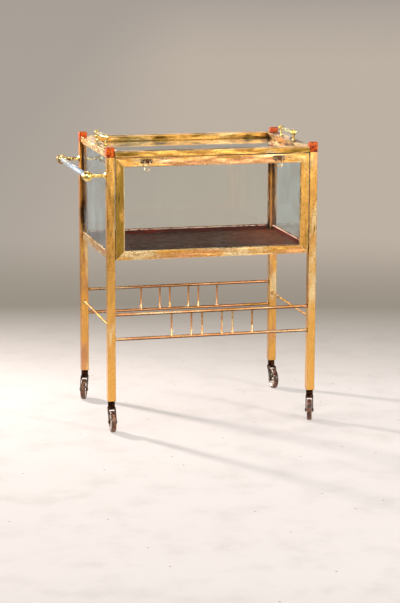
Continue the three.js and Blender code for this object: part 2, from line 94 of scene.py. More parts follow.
def pickEdges(piece, test):  # selects the edges whose two ends pass
    shape = bmesh.from_edit_mesh(piece.data)
    bpy.context.tool_settings.mesh_select_mode = (False, True, False)
    for edge in shape.edges:
        edge.select_set(test(edge.verts[0].co, edge.verts[1].co))
    bmesh.update_edit_mesh(piece.data)


def turnTo(axis):  # the turn that takes local Z to an axis
    return Vector(axis).to_track_quat("Z", "Y").to_euler()


def setDown(piece, place=(0, 0, 0), turn=(0, 0, 0)):  # its place goes into its mesh
    piece.location, piece.rotation_euler = place, turn
    activate(piece)
    bpy.ops.object.transform_apply(location=True, rotation=True, scale=True)
    return piece


# A piece with its own mesh, copied from a form that is modelled once
def copyForm(form, name, place=(0, 0, 0), turn=(0, 0, 0)):
    piece = form.copy()
    piece.data = form.data.copy()
    piece.name = name
    bpy.context.scene.collection.objects.link(piece)
    return setDown(piece, place, turn)


def dropForms(*forms):  # the form itself goes once its copies are made
    for form in forms:
        bpy.data.objects.remove(form)


def addBox(name, low, high):
    deselectAll()
    low, high = Vector(low), Vector(high)
    bpy.ops.mesh.primitive_cube_add(size=1, location=(low + high) / 2, scale=high - low)
    piece = bpy.context.active_object
    piece.name = name
    return setDown(piece, piece.location)


# A turned form at the origin: rings of (radius, place on Z), extruded one after the other
def addTurned(name, rings, sides):
    deselectAll()
    radius, place = rings[0]
    bpy.ops.mesh.primitive_circle_add(
        vertices=sides, radius=radius, fill_type="NGON", location=(0, 0, place)
    )
    form = bpy.context.active_object
    form.name = name
    setDown(form, form.location)
    edit(form, "SELECT")
    for nextRadius, nextPlace in rings[1:]:
        bpy.ops.mesh.extrude_region_move(
            TRANSFORM_OT_translate={"value": (0, 0, nextPlace - place)}
        )
        grow = nextRadius / radius
        bpy.ops.transform.resize(value=(grow, grow, 1), center_override=(0, 0, nextPlace))
        radius, place = nextRadius, nextPlace
    bpy.ops.mesh.select_all(action="SELECT")
    bpy.ops.mesh.remove_doubles(threshold=mergeWithin["turned"])
    bpy.ops.mesh.normals_make_consistent(inside=False)
    leaveEdit()
    return form


def roundEdges(piece, width, segments=2, angle=30):
    activate(piece)
    edge = piece.modifiers.new("softEdge", "BEVEL")
    edge.width = width
    edge.segments = segments
    edge.limit_method = "ANGLE"
    edge.angle_limit = math.radians(angle)
    bpy.ops.object.modifier_apply(modifier=edge.name)
    return piece


def smooth(piece, angle=35):
    activate(piece)
    bpy.ops.object.shade_smooth_by_angle(angle=math.radians(angle))
    return piece


def flatten(piece):  # large faces keep their own normal beside a rounded edge
    activate(piece)
    weighted = piece.modifiers.new("flatFaces", "WEIGHTED_NORMAL")
    weighted.keep_sharp = True
    weighted.weight = 100
    bpy.ops.object.modifier_apply(modifier=weighted.name)
    return piece


# Keeps one side of a rim that fills a box: it is cut at 45 degrees at the two corners there
def cutMitres(rim, low, high, outward, axis, joint):
    sideways = axis.cross(outward)
    middle, half = (low + high) / 2, (high - low) / 2
    cuts = [(middle, -outward)]
    for turn in (-1, 1):
        corner = middle + Vector([(outward[i] + turn * sideways[i]) * half[i] for i in range(3)])
        away = (turn * sideways - outward).normalized()
        cuts.append((corner - away * joint, away))
    for place, away in cuts:
        edit(rim, "SELECT")
        bpy.ops.mesh.bisect(plane_co=place, plane_no=away, use_fill=True, clear_outer=True)
        leaveEdit()
    return rim


def joinPieces(name, pieces):
    activate(pieces[0])
    for piece in pieces[1:]:
        piece.select_set(True)
    bpy.ops.object.join()
    joined = bpy.context.active_object
    joined.name = name
    return joined


# The form of a CAD node with its loose triangles merged and its edges rounded
def softCopy(node, width, segments=2, angle=30):
    piece = bpy.data.objects.new(node + "_look", nodes[node].data.copy())
    piece.data.materials.clear()
    bpy.context.scene.collection.objects.link(piece)
    edit(piece, "SELECT")
    bpy.ops.mesh.remove_doubles(threshold=mergeWithin["cadCopy"])
    bpy.ops.mesh.dissolve_limited(angle_limit=sameFace)
    leaveEdit()
    return flatten(smooth(roundEdges(piece, width, segments, angle)))


def dress(piece, material, body, slot, *replaced):
    piece.data.materials.clear()
    piece.data.materials.append(material)
    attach(piece, body)
    if replaced:
        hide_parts(*replaced)
    return piece


# A node's own form, softened and dressed, stands for the node
def dressNode(node, width, material, body, slot, segments=2, angle=30):
    return dress(softCopy(node, width, segments, angle), material, body, slot, node)


def dressPane(node, width, glass, body):
    pane = smooth(softCopy(node, width, segments=1), angle=10)
    return dress(pane, glass, body, "glass", node)


# Materials

def fromHex(code):  # sRGB hex to a linear colour
    channels = [int(code[i:i + 2], 16) / 255 for i in (1, 3, 5)]
    linear = [c / 12.92 if c <= 0.04045 else ((c + 0.055) / 1.055) ** 2.4 for c in channels]
    return (*linear, 1)


def newMaterial(name):
    material = bpy.data.materials.new(name)
    material.use_nodes = True
    material.node_tree.nodes.clear()
    return material


def addNode(material, kind, settings=None, links=None):
    node = material.node_tree.nodes.new(kind)
    for key, value in (settings or {}).items():
        if isinstance(key, int) or key in node.inputs:
            node.inputs[key].default_value = value
        else:
            setattr(node, key, value)
    for key, source in (links or {}).items():  # a node as the source means its first output
        socket = source.outputs[0] if isinstance(source, bpy.types.Node) else source
        material.node_tree.links.new(socket, node.inputs[key])
    return node


# Where the surface is, in real metres; a stretch below 1 draws the pattern out along that axis
def placeOn(material, stretch=None):
    place = addNode(material, "ShaderNodeTexCoord").outputs["Object"]
    if stretch is None:
        return place
    return addNode(material, "ShaderNodeMapping", {"Scale": stretch}, {"Vector": place})


def upward(material):  # 1 on a face that looks up, -1 on one that looks down
    normal = addNode(material, "ShaderNodeNewGeometry").outputs["Normal"]
    return addNode(material, "ShaderNodeSeparateXYZ", None, {"Vector": normal}).outputs["Z"]


# The share that soft-edged patches take of the surface. A look gives each of its patterns in
# this order: the real size of a patch, the two noise values between which it fades in, the
# greatest share, how finely its edge breaks up, and swirl. Spread lets it cover more.
def patches(material, place, size, low, high, top=1.0, detail=4.0, swirl=0.0, spread=0.0):
    noise = addNode(material, "ShaderNodeTexNoise", {
        "Scale": 1 / size, "Detail": detail, "Roughness": 0.6, "Distortion": swirl,
    }, {"Vector": place})
    return addNode(material, "ShaderNodeMapRange", {
        "interpolation_type": "SMOOTHSTEP", "From Min": low - spread, "From Max": high - spread,
        "To Max": top,
    }, {"Value": noise.outputs["Fac"]})


# Edges are found by how far a rounded normal leans from the true one, as a cosine, and hollows
# by how much of the sky they see
wearAndShadeLook = {
    "leanFrom": 0.99, "leanTo": 0.88, "edgeSamples": 4,
    "breakWidths": 7, "breaks": (0.36, 0.56),  # worn edges stop and start over seven widths
    "openSky": 0.85, "hiddenSky": 0.35, "hollowSamples": 6,
}


# The share that a rounded edge of a real width takes, worn by handling, a little broken up
def wornEdges(material, place, width, top):
    look = wearAndShadeLook
    rounded = addNode(material, "ShaderNodeBevel", {
        "samples": look["edgeSamples"], "Radius": width,
    })
    true = addNode(material, "ShaderNodeNewGeometry")
    facing = addNode(material, "ShaderNodeVectorMath", {"operation": "DOT_PRODUCT"}, {
        0: rounded, 1: true.outputs["Normal"],
    })
    edge = addNode(material, "ShaderNodeMapRange", {
        "From Min": look["leanFrom"], "From Max": look["leanTo"], "To Max": top,
    }, {"Value": facing.outputs["Value"]})
    whole = patches(material, place, look["breakWidths"] * width, *look["breaks"])
    return addNode(material, "ShaderNodeMath", {"operation": "MULTIPLY"}, {0: edge, 1: whole})


# The share that corners and narrow gaps take: dust and old polish stay there, and its darkening is
# also painted shade
def grimeAndShadeInCorners(material, reach, top):
    look = wearAndShadeLook
    hollow = addNode(material, "ShaderNodeAmbientOcclusion", {
        "samples": look["hollowSamples"], "Distance": reach,
    })
    return addNode(material, "ShaderNodeMapRange", {
        "From Min": look["openSky"], "From Max": look["hiddenSky"], "To Max": top,
    }, {"Value": hollow.outputs["AO"]})


# Colours laid over one another, each where its share says
def layered(material, look, first, layers):
    tint = addNode(material, "ShaderNodeRGB").outputs[0]
    tint.default_value = fromHex(look[first])
    for shade, share in layers:
        tint = addNode(material, "ShaderNodeMix", {
            "data_type": "RGBA", 7: fromHex(look[shade]),
        }, {0: share, 6: tint}).outputs[2]
    return tint


# One share sets the roughness, from the first to the second number of a look's gloss. Another
# one is the relief, whose two numbers are its strength and its depth.
def glossAndRelief(material, look, dull, height):
    (smoothest, roughest), (strength, depth) = look["gloss"], look["relief"]
    rough = addNode(material, "ShaderNodeMapRange", {
        "To Min": smoothest, "To Max": roughest,
    }, {"Value": dull})
    bump = addNode(material, "ShaderNodeBump", {
        "Strength": strength, "Distance": depth,
    }, {"Height": height})
    return {"Roughness": rough, "Normal": bump}


def finish(material, surface):
    addNode(material, "ShaderNodeOutputMaterial", None, {"Surface": surface})
    return material


def solidFinish(material, settings, links):
    return finish(material, addNode(material, "ShaderNodeBsdfPrincipled", settings, links))


# A finish laid over its ground in layers, each a shade and the pattern that it shows in. Edges
# and corners are found by their shape, and are given as a reach and a greatest share. Two of the
# patterns drive gloss and relief. A spread given by a pattern's name lets that one cover more.
def layeredFinish(name, look, **spread):
    material = newMaterial(name)
    place = placeOn(material)
    shares = {}
    for pattern, numbers in look["patterns"].items():
        if pattern == "edges":
            shares[pattern] = wornEdges(material, place, *numbers)
        elif pattern == "corners":
            # corners: dirt, and painted shade in hollows and gaps
            shares[pattern] = grimeAndShadeInCorners(material, *numbers)
        else:
            more = spread.get(pattern, 0.0)
            shares[pattern] = patches(material, place, *numbers, spread=more)
    layers = [(shade, shares[pattern]) for shade, pattern in look["layers"]]
    tint = layered(material, look, "ground", layers)
    feel = glossAndRelief(material, look, shares[look["glossBy"]], shares[look["reliefBy"]])
    return solidFinish(material, look["shader"], {"Base Color": tint, **feel})


# Drawn brass tube and bar, polished long ago and handled since. Polishing leaves soft bands of
# brighter and deeper gold along the bar; it goes rosy where the zinc has leached, then olive and
# brown in long streaks, nearly black in the corners, with old polish and painted shade there. Its
# edges are pale, rubbed and partly a painted highlight, or brown on the posts; where asked, faces
# that look down are browner. Its faces are a little wavy, so that what they mirror breaks up.
brassLook = {
    "gold": "#F4BA60", "deep": "#B0702A", "cream": "#FFE7B0", "rosy": "#EAA878",
    "olive": "#7C6220", "brown": "#40220B", "grimeAndShade": "#180B04", "pit": "#5A3212",
    "drawnOut": 0.07,                          # streaks are fourteen times as long as wide
    "broadOut": 0.25,                          # bands and clouds are four times as long
    "bands": (11 * mm, 0.58, 0.88),
    "mottle": (6 * mm, 0.42, 0.64, 0.45, 3.0),
    "burnish": (33.8 * mm, 0.62, 0.8, 0.8, 2.0),
    "blush": (52 * mm, 0.62, 0.8, 0.85, 2.0),
    "dulling": (26 * mm, 0.66, 0.8, 0.85, 3.0),
    "streaks": (4 * mm, 0.64, 0.78, 0.95),
    "streakClouds": (26 * mm, 0.44, 0.58),
    "pits": (2.8 * mm, 0.68, 0.8, 0.85, 2.0),  # real pits are under 1 mm, drawn to show
    "toneSpread": 0.2, "bandSpread": 0.4, "pitSpread": 0.14,  # what a whole amount adds
    "outsideZone": 0.2,                        # the share of the dark tones outside a zone
    "underFrom": 0.1, "underTo": -0.5,         # from level to looking down
    "edges": (2 * mm, 0.9), "corners": (6 * mm, 0.97),
    "gloss": (0.26, 0.4), "dullGloss": 0.2,
    "waveSize": 16 * mm, "waveDepth": 1.8 * mm,
    "brushSize": 1.4 * mm, "pitDepth": -0.8, "relief": (0.4, 0.2 * mm),
}


# Each tone's amount runs from 0 to about 1. A zone is a pair of heights in metres over which the
# dark tones come in.
def agedBrass(name, grain, olive, brown, rosy, cream, speckle=0.2, bronzed=0.5, zones=(),
              edge="cream", under=0.0):
    look = brassLook
    metal = newMaterial(name)
    place = placeOn(metal)
    drawn, broad = (
        placeOn(metal, [look[drawnOut] if axis == grain else 1 for axis in "xyz"])
        for drawnOut in ("drawnOut", "broadOut")
    )
    reach, bandReach = look["toneSpread"], look["bandSpread"]
    bands = patches(metal, broad, *look["bands"], bronzed, 2.0, spread=bandReach * bronzed)
    mottle = patches(metal, place, *look["mottle"])
    burnished = patches(metal, broad, *look["burnish"], spread=reach * cream)
    blush = patches(metal, broad, *look["blush"], spread=reach * rosy)
    dull = patches(metal, broad, *look["dulling"], spread=reach * olive)
    dark = addNode(metal, "ShaderNodeMath", {"operation": "MULTIPLY"}, {
        0: patches(metal, drawn, *look["streaks"], spread=reach * brown),
        1: patches(metal, broad, *look["streakClouds"]),
    })
    for start, end in zones:
        height = addNode(metal, "ShaderNodeSeparateXYZ", None, {"Vector": place}).outputs["Z"]
        zone = addNode(metal, "ShaderNodeMapRange", {
            "interpolation_type": "SMOOTHSTEP", "From Min": start, "From Max": end,
            "To Min": look["outsideZone"],
        }, {"Value": height})
        bands, mottle, dull, dark = [
            addNode(metal, "ShaderNodeMath", {"operation": "MULTIPLY"}, {0: tone, 1: zone})
            for tone in (bands, mottle, dull, dark)
        ]
    pitSize, *pitting = look["pits"]
    pits = patches(metal, place, pitSize * (1 + speckle), *pitting,
                   spread=look["pitSpread"] * speckle)
    layers = [
        ("deep", bands), ("rosy", blush), ("cream", burnished), ("deep", mottle), ("olive", dull),
        ("brown", dark), ("pit", pits),
    ]
    # where asked, faces that look down go browner, the more the further they turn down
    if under:
        below = addNode(metal, "ShaderNodeMapRange", {
            "From Min": look["underFrom"], "From Max": look["underTo"], "To Max": under,
        }, {"Value": upward(metal)})
        layers.append(("brown", below))
    layers.append(("grimeAndShade", grimeAndShadeInCorners(metal, *look["corners"])))
    # pale edges: wear, and partly a painted highlight along them
    layers.append((edge, wornEdges(metal, place, *look["edges"])))
    tint = layered(metal, look, "gold", layers)

    waves = addNode(metal, "ShaderNodeTexNoise", {
        "Scale": 1 / look["waveSize"], "Detail": 1.0,
    }, {"Vector": broad})
    wavy = addNode(metal, "ShaderNodeBump", {"Strength": 1.0, "Distance": look["waveDepth"]}, {
        "Height": waves.outputs["Fac"],
    })
    brushed = addNode(metal, "ShaderNodeTexNoise", {
        "Scale": 1 / look["brushSize"], "Detail": 3.0,
    }, {"Vector": drawn})
    height = addNode(metal, "ShaderNodeMath", {"operation": "MULTIPLY_ADD", 1: look["pitDepth"]}, {
        0: pits, 2: brushed.outputs["Fac"],
    })
    feel = glossAndRelief(metal, look, bands, height)
    metal.node_tree.links.new(wavy.outputs[0], feel["Normal"].inputs["Normal"])
    rough = addNode(metal, "ShaderNodeMath", {"operation": "MULTIPLY_ADD", 1: look["dullGloss"]}, {
        0: dull, 2: feel["Roughness"],
    })
    return solidFinish(metal, {"Metallic": 1.0}, {
        "Base Color": tint, "Roughness": rough, "Normal": feel["Normal"],
    })


# Turned fittings in a paler, yellower brass, buffed bright and handled: cloudy fingermarks,
# small dark specks, and old polish left in the corners, darkened there with painted shade too;
# browner where hands don't reach.
paleLook = {
    "ground": "#FBEBA8", "warm": "#D9AE48", "brown": "#6E3F16", "speck": "#5A421C",
    "grimeAndShade": "#2E1C0A",
    "patterns": {
        "clouds": (9 * mm, 0.4, 0.6), "toning": (9 * mm, 0.7, 0.8, 0.9, 2.0),
        "specks": (2.6 * mm, 0.62, 0.7, 0.75, 2.0), "corners": (3 * mm, 0.95),
    },
    "layers": (("warm", "clouds"), ("brown", "toning"), ("speck", "specks"), ("grimeAndShade", "corners")),
    "glossBy": "clouds", "gloss": (0.16, 0.3), "reliefBy": "specks", "relief": (0.25, 0.15 * mm),
    "shader": {"Metallic": 1.0},
}


# Stamped brass of the pull plates, never polished since: dark red-brown toning, bare metal worn
# on the edges and screws, and a few painted glints in pale copper scattered over it.
tonedLook = {
    "ground": "#5A2812", "dark": "#1A0804", "copper": "#F0C090", "bare": "#FFEFCB",
    "patterns": {
        "toning": (4 * mm, 0.36, 0.62, 0.9), "glints": (2.4 * mm, 0.54, 0.66, 0.9, 2.0),
        "edges": (1.2 * mm, 0.8),
    },
    "layers": (("dark", "toning"), ("copper", "glints"), ("bare", "edges")),
    "glossBy": "toning", "gloss": (0.2, 0.42), "reliefBy": "toning", "relief": (0.5, 0.25 * mm),
    "shader": {"Metallic": 1.0},
}


# Cast phenolic resin for the post caps: orange with darker red swirls through it, and soiled
# dark along its edges, its gloss gone a little dull.
capResinLook = {
    "ground": "#B84200", "bright": "#EC8222", "swirl": "#641402", "soiled": "#3A0D04",
    "patterns": {
        "swirls": (10 * mm, 0.44, 0.66, 0.9, 2.0, 1.0), "flecks": (5 * mm, 0.46, 0.68, 0.8, 2.0),
        "edges": (2.4 * mm, 0.9),
    },
    "layers": (("bright", "flecks"), ("swirl", "swirls"), ("soiled", "edges")),
    "glossBy": "swirls", "gloss": (0.25, 0.42), "reliefBy": "swirls", "relief": (0.3, 0.3 * mm),
    "shader": {"IOR": 1.5, "Specular IOR Level": 0.18},
}


# Float glass with ground edges: nearly clear through a pane, faintly wavy, with wiped smears
# and a thin film of dust in upright streaks. Lamps shine through it, as through a thin pane.
paneLook = {
    "broad": (1, 1, 0.6), "upright": (1, 1, 0.3), "tall": (1, 1, 0.04),
    "waveSize": 120 * mm, "relief": (0.05, 0.4 * mm),
    "haze": (70 * mm, 0.45, 0.8, 0.06, 4.0, 0.8),
    "streaks": (16 * mm, 0.58, 0.76), "smears": (35 * mm, 0.4, 0.7), "smearSwirl": 1.2,
}


def floatGlass(name, tintHex, filmHex, dusty, wiped):
    look = paneLook
    glass = newMaterial(name)
    broad, upright, tall = (placeOn(glass, look[way]) for way in ("broad", "upright", "tall"))
    waves = addNode(glass, "ShaderNodeTexNoise", {
        "Scale": 1 / look["waveSize"], "Detail": 1.0,
    }, {"Vector": upright})
    strength, depth = look["relief"]
    bump = addNode(glass, "ShaderNodeBump", {"Strength": strength, "Distance": depth}, {
        "Height": waves.outputs["Fac"],
    })
    streaks = patches(glass, tall, *look["streaks"], dusty, 2.0)
    smears = patches(glass, broad, *look["smears"], wiped, swirl=look["smearSwirl"])
    film = addNode(glass, "ShaderNodeMath", {"operation": "ADD"}, {0: streaks, 1: smears})
    clear = addNode(glass, "ShaderNodeBsdfPrincipled", {
        "Base Color": fromHex(tintHex), "IOR": 1.5, "Transmission Weight": 1.0,
    }, {"Roughness": patches(glass, upright, *look["haze"]), "Normal": bump})
    dust = addNode(glass, "ShaderNodeBsdfDiffuse", {"Color": fromHex(filmHex)})
    surface = addNode(glass, "ShaderNodeMixShader", None, {0: film, 1: clear, 2: dust})
    passing = addNode(glass, "ShaderNodeBsdfTransparent", {"Color": fromHex(tintHex)})
    rays = addNode(glass, "ShaderNodeLightPath")
    return finish(glass, addNode(glass, "ShaderNodeMixShader", None, {
        0: rays.outputs["Is Shadow Ray"], 1: surface, 2: passing,
    }))


# Cast acrylic rod for the handles: clear but milky with fine scratches, so that it glows
# instead of showing what is behind it.
rodFinish = {
    "clouds": (12 * mm, 0.35, 0.65), "scratches": (1.2 * mm, 0.5, 0.7, 1.0, 2.0),
    "scratchedAlong": (1, 0.06, 1), "unevenMilk": 0.1, "coat": 0.5, "coatRough": 0.05,
    "gloss": (0.08, 0.2), "relief": (0.2, 0.1 * mm),
}


def milkyAcrylic(name, tintHex, milkHex, milk):
    look = rodFinish
    acrylic = newMaterial(name)
    clouds = patches(acrylic, placeOn(acrylic), *look["clouds"])
    scratches = patches(acrylic, placeOn(acrylic, look["scratchedAlong"]), *look["scratches"])
    feel = glossAndRelief(acrylic, look, clouds, scratches)
    clear = addNode(acrylic, "ShaderNodeBsdfPrincipled", {
        "Base Color": fromHex(tintHex), "IOR": 1.49, "Transmission Weight": 1.0,
    }, feel)
    body = addNode(acrylic, "ShaderNodeBsdfPrincipled", {
        "Base Color": fromHex(milkHex), "IOR": 1.49,
        "Coat Weight": look["coat"], "Coat Roughness": look["coatRough"],
    }, feel)
    milky = addNode(acrylic, "ShaderNodeMapRange", {
        "To Min": milk - look["unevenMilk"], "To Max": milk + look["unevenMilk"],
    }, {"Value": clouds})
    return finish(acrylic, addNode(acrylic, "ShaderNodeMixShader", None, {
        0: milky, 1: clear, 2: body,
    }))


# Hardwood board under burgundy lacquer gone matt: fine grain, darker clouds where the lacquer is
# thick, red where it is thin, bare wood coming through at the used end, and pale specks of dust
# lying on it. The beads round it have a dark upper half and the pinkish ground showing along
# their rubbed tops.
boardLook = {
    "burgundy": "#2A160B", "dark": "#120704", "red": "#4A1006", "dust": "#E8DCCC",
    "rubbed": "#ECB498", "worn": "#8A4420",
    "grainAlong": (0.06, 1, 1), "grain": (2.6 * mm, 0.38, 0.62, 0.8),
    "clouds": (30 * mm, 0.4, 0.62, 0.6), "reddening": (60 * mm, 0.7, 0.95), "leastRed": 0.4,
    "dustSize": 26 * mm, "speckEdge": (0.05, 0.02), "dustDrifts": (26 * mm, 0.42, 0.6),
    "breaks": (9 * mm, 0.4, 0.6, 1.0, 2.0), "mottles": (15 * mm, 0.36, 0.7),
    "edgeWidth": 1.2 * mm, "corners": (5 * mm, 0.95),
    "gloss": (0.45, 0.6), "relief": (0.2, 0.2 * mm), "mirrored": 0.01,
}


# A fade lays a shade over the lacquer from one place along an axis to another: the shade, the
# axis, where it starts and ends, its greatest share, the pattern it breaks up in, and how much
# more than that pattern it covers
def lacqueredBoard(name, redness, rubbed=0.3, fades=()):
    look = boardLook
    wood = newMaterial(name)
    place = placeOn(wood)
    grain = patches(wood, placeOn(wood, look["grainAlong"]), *look["grain"])
    clouds = patches(wood, place, *look["clouds"])
    red = patches(wood, place, *look["reddening"], look["leastRed"] + redness, 3.0, spread=redness)
    cells = addNode(wood, "ShaderNodeTexVoronoi", {
        "voronoi_dimensions": "2D", "Scale": 1 / look["dustSize"],
    }, {"Vector": place})
    rim, core = look["speckEdge"]
    dust = addNode(wood, "ShaderNodeMapRange", {"From Min": rim, "From Max": core}, {
        "Value": cells.outputs["Distance"],
    })
    for limit in (upward(wood), patches(wood, place, *look["dustDrifts"])):
        dust = addNode(wood, "ShaderNodeMath", {"operation": "MULTIPLY"}, {0: dust, 1: limit})
    layers = [("dark", clouds), ("dark", grain), ("red", red), ("dust", dust)]
    for shade, axis, start, end, most, pattern, spread in fades:
        where = addNode(wood, "ShaderNodeSeparateXYZ", None, {"Vector": place}).outputs[axis]
        fade = addNode(wood, "ShaderNodeMapRange", {
            "From Min": start, "From Max": end, "To Max": most,
        }, {"Value": where})
        share = addNode(wood, "ShaderNodeMath", {"operation": "MULTIPLY"}, {
            0: fade, 1: patches(wood, place, *look[pattern], spread=spread),
        })
        layers.append((shade, share))
    # dark in the corners and against the beads: dirt and painted shade
    layers.append(("dark", grimeAndShadeInCorners(wood, *look["corners"])))
    layers.append(("rubbed", wornEdges(wood, place, look["edgeWidth"], rubbed)))
    tint = layered(wood, look, "burgundy", layers)
    feel = glossAndRelief(wood, look, clouds, grain)
    return solidFinish(wood, {"IOR": 1.5, "Specular IOR Level": look["mirrored"]}, {
        "Base Color": tint, **feel,
    })


# Cast bronze caster frames, black-brown with age: sand-cast grain, metal showing on the edges.
bronzeLook = {
    "ground": "#1A0D09", "rust": "#4E2A18", "bare": "#C08E5C",
    "patterns": {
        "clouds": (7 * mm, 0.46, 0.64, 0.85), "grain": (1.6 * mm, 0.4, 0.6, 1.0, 3.0),
        "edges": (0.8 * mm, 0.6),
    },
    "layers": (("rust", "clouds"), ("bare", "edges")),
    "glossBy": "clouds", "gloss": (0.28, 0.5), "reliefBy": "grain", "relief": (0.4, 0.25 * mm),
    "shader": {"Metallic": 1.0},
}


# Vulcanised rubber tyre gone orange-brown: rubbed shiny and dusty in patches, finely cracked.
tyreLook = {
    "brown": "#683A20", "dark": "#140805", "dust": "#E8B88A",
    "dusting": (4 * mm, 0.5, 0.66, 0.85), "soiling": (8 * mm, 0.44, 0.58, 0.9),
    "crackSize": 3 * mm, "crackEdge": 0.06, "crackShare": 0.6,
    "gloss": (0.34, 0.62), "relief": (0.4, 0.2 * mm),
}


def oldRubber(name):
    look = tyreLook
    rubber = newMaterial(name)
    place = placeOn(rubber)
    dusty = patches(rubber, place, *look["dusting"])
    cells = addNode(rubber, "ShaderNodeTexVoronoi", {
        "feature": "DISTANCE_TO_EDGE", "Scale": 1 / look["crackSize"],
    }, {"Vector": place}).outputs["Distance"]
    cracks = addNode(rubber, "ShaderNodeMapRange", {
        "From Min": look["crackEdge"], "From Max": 0.0, "To Max": look["crackShare"],
    }, {"Value": cells})
    tint = layered(rubber, look, "brown", (
        ("dust", dusty), ("dark", patches(rubber, place, *look["soiling"])),
        ("dark", cracks),
    ))
    feel = glossAndRelief(rubber, look, dusty, cells)
    return solidFinish(rubber, {"IOR": 1.52}, {"Base Color": tint, **feel})


# Pressed steel wheel discs with worn nickel plate: bright at the rim, brown where it has gone,
# darkened in the corners with grime and painted shade.
nickelLook = {
    "ground": "#FFF4E8", "brown": "#4A2A1A", "grimeAndShade": "#140A06",
    "patterns": {
        "blotches": (6 * mm, 0.44, 0.64, 0.8, 3.0), "grain": (1.2 * mm, 0.4, 0.6, 1.0, 2.0),
        "corners": (4 * mm, 0.9),
    },
    "layers": (("brown", "blotches"), ("grimeAndShade", "corners")),
    "glossBy": "blotches", "gloss": (0.16, 0.45), "reliefBy": "grain", "relief": (0.2, 0.12 * mm),
    "shader": {"Metallic": 1.0},
}


# How far each tone has gone on each run of brass
brassRuns = {
    "frontPostBrass": dict(grain="z", olive=0.3, brown=0.35, rosy=0.7, cream=0.5,
                           zones=((0.40, 0.53), (0.76, 0.62)), edge="brown"),
    # back posts: browner above the cabinet floor, tarnish and painted shade where the cabinet
    # shades them
    "backPostBrassTarnishAndPaintedShade": dict(grain="z", olive=0.6, brown=2.0, rosy=0.8, cream=0.4, bronzed=1.0,
                          zones=((0.44, 0.52),), edge="brown"),
    "flapRailBrass": dict(grain="x", olive=0.3, brown=0.25, rosy=0.9, cream=0.7),
    "flapStileBrassBrowned": dict(grain="z", olive=1.6, brown=0.5, rosy=0.3, cream=0.0),
    "flapStileBrass": dict(grain="z", olive=0.7, brown=0.4, rosy=0.6, cream=0.4),
    "flapBeadBrassAlongX": dict(grain="x", olive=0.2, brown=0.6, rosy=0.5, cream=1.0, speckle=0.8),
    # left strip: painted highlight, as light falls on it from the left
    "flapBeadBrassPaintedHighlight": dict(grain="z", olive=0.0, brown=0.0, rosy=0.3, cream=1.5),
    # right strip: painted shade in tarnish tones, as it faces away from the light
    "flapBeadBrassPaintedShade": dict(grain="z", olive=0.9, brown=1.3, rosy=0.2, cream=0.2),
    "cabinetRailBrassAlongX": dict(grain="x", olive=0.5, brown=0.5, rosy=0.7, cream=0.5),
    "cabinetRailBrassAlongY": dict(grain="y", olive=0.1, brown=0.2, rosy=1.0, cream=1.4,
                                   speckle=0.4),
    # stop rail behind the flap's top gap: darkest tarnish, and painted shade in that gap
    "stopRailBrassTarnishAndPaintedShade": dict(grain="x", olive=0.9, brown=1.6, rosy=0.2, cream=0.0),
    "trayRailBrassAlongX": dict(grain="x", olive=1.2, brown=1.0, rosy=0.3, cream=0.3),
    # side rails: their extra cream is burnish and partly painted sheen along their tops
    "trayRailBrassPaintedSheenAlongY": dict(grain="y", olive=0.7, brown=0.8, rosy=0.7, cream=1.1, speckle=0.4),
    "trayRailBrassSoiledWithPaintedSheen": dict(grain="y", olive=0.9, brown=1.3, rosy=0.6, cream=1.2, speckle=1.1),
    "rackRodBrassAlongX": dict(grain="x", olive=0.2, brown=0.4, rosy=1.3, cream=0.5, bronzed=0.8,
                               under=0.9),
    "rackRodBrassAlongY": dict(grain="y", olive=0.4, brown=0.6, rosy=0.8, cream=0.7, speckle=0.6,
                               under=0.8),
    "rubbedRingBrass": dict(grain="x", olive=0.0, brown=0.2, rosy=1.4, cream=1.6),
}
brass = {name: agedBrass(name, **tones) for name, tones in brassRuns.items()}
fittingBrass = layeredFinish("buffedPaleBrass", paleLook)
backFittingBrass = layeredFinish("brownedPaleBrass", paleLook, toning=0.24)
pullBrass = layeredFinish("tonedPullBrass", tonedLook)
capResin = layeredFinish("castPhenolicResin", capResinLook)
paneGlass = floatGlass("floatGlassPane", "#FCFEFD", "#F1EDE2", dusty=0.014, wiped=0.002)
sideGlass = floatGlass("floatGlassSidePane", "#E8F2F5", "#BCD6DC", dusty=0.03, wiped=0.05)
pushAcrylic = milkyAcrylic("milkyAcrylicPushRod", "#DCE8F4", "#C3D3E6", milk=0.55)
trayAcrylic = milkyAcrylic("milkyAcrylicTrayRod", "#E9ECC8", "#D8D2A8", milk=0.35)
boardWood = lacqueredBoard("burgundyLacquer", redness=0.15, fades=(
    ("worn", "X", boardEnd - 200 * mm, boardEnd, 0.5, "mottles", 0.0),
))
beadWood = lacqueredBoard("redLacquerBead", redness=0.6, rubbed=0.9, fades=(
    ("dark", "Z", boardTop + 4 * mm, boardTop + 8 * mm, 1.0, "breaks", 0.1),
    ("rubbed", "Z", boardTop + 10.5 * mm, boardTop + 12.5 * mm, 1.0, "breaks", 0.05),
))
casterBronze = layeredFinish("agedCastBronze", bronzeLook)
tyreRubber = oldRubber("agedRubberTyre")
discNickel = layeredFinish("wornNickelPlate", nickelLook)
print("materials made:", len(bpy.data.materials))


# Frame: posts, caps, rails, panes and the floor

frameLook = {
    "postEdge": 0.9 * mm, "railEdge": 0.5 * mm, "paneEdge": 0.6 * mm, "boardEdge": 0.6 * mm,
}

# The crown's steps are an inset and a rise each
postCapLook = {
    "neckInset": 0.8 * mm, "footHeight": 2.4 * mm, "neckHeight": 0.9 * mm,
    "cornerRadius": 2.4 * mm, "cornerSegments": 5, "edge": 0.5 * mm,
    "crown": ((2.2 * mm, 0.91 * mm), (3.52 * mm, 0.39 * mm)),
}


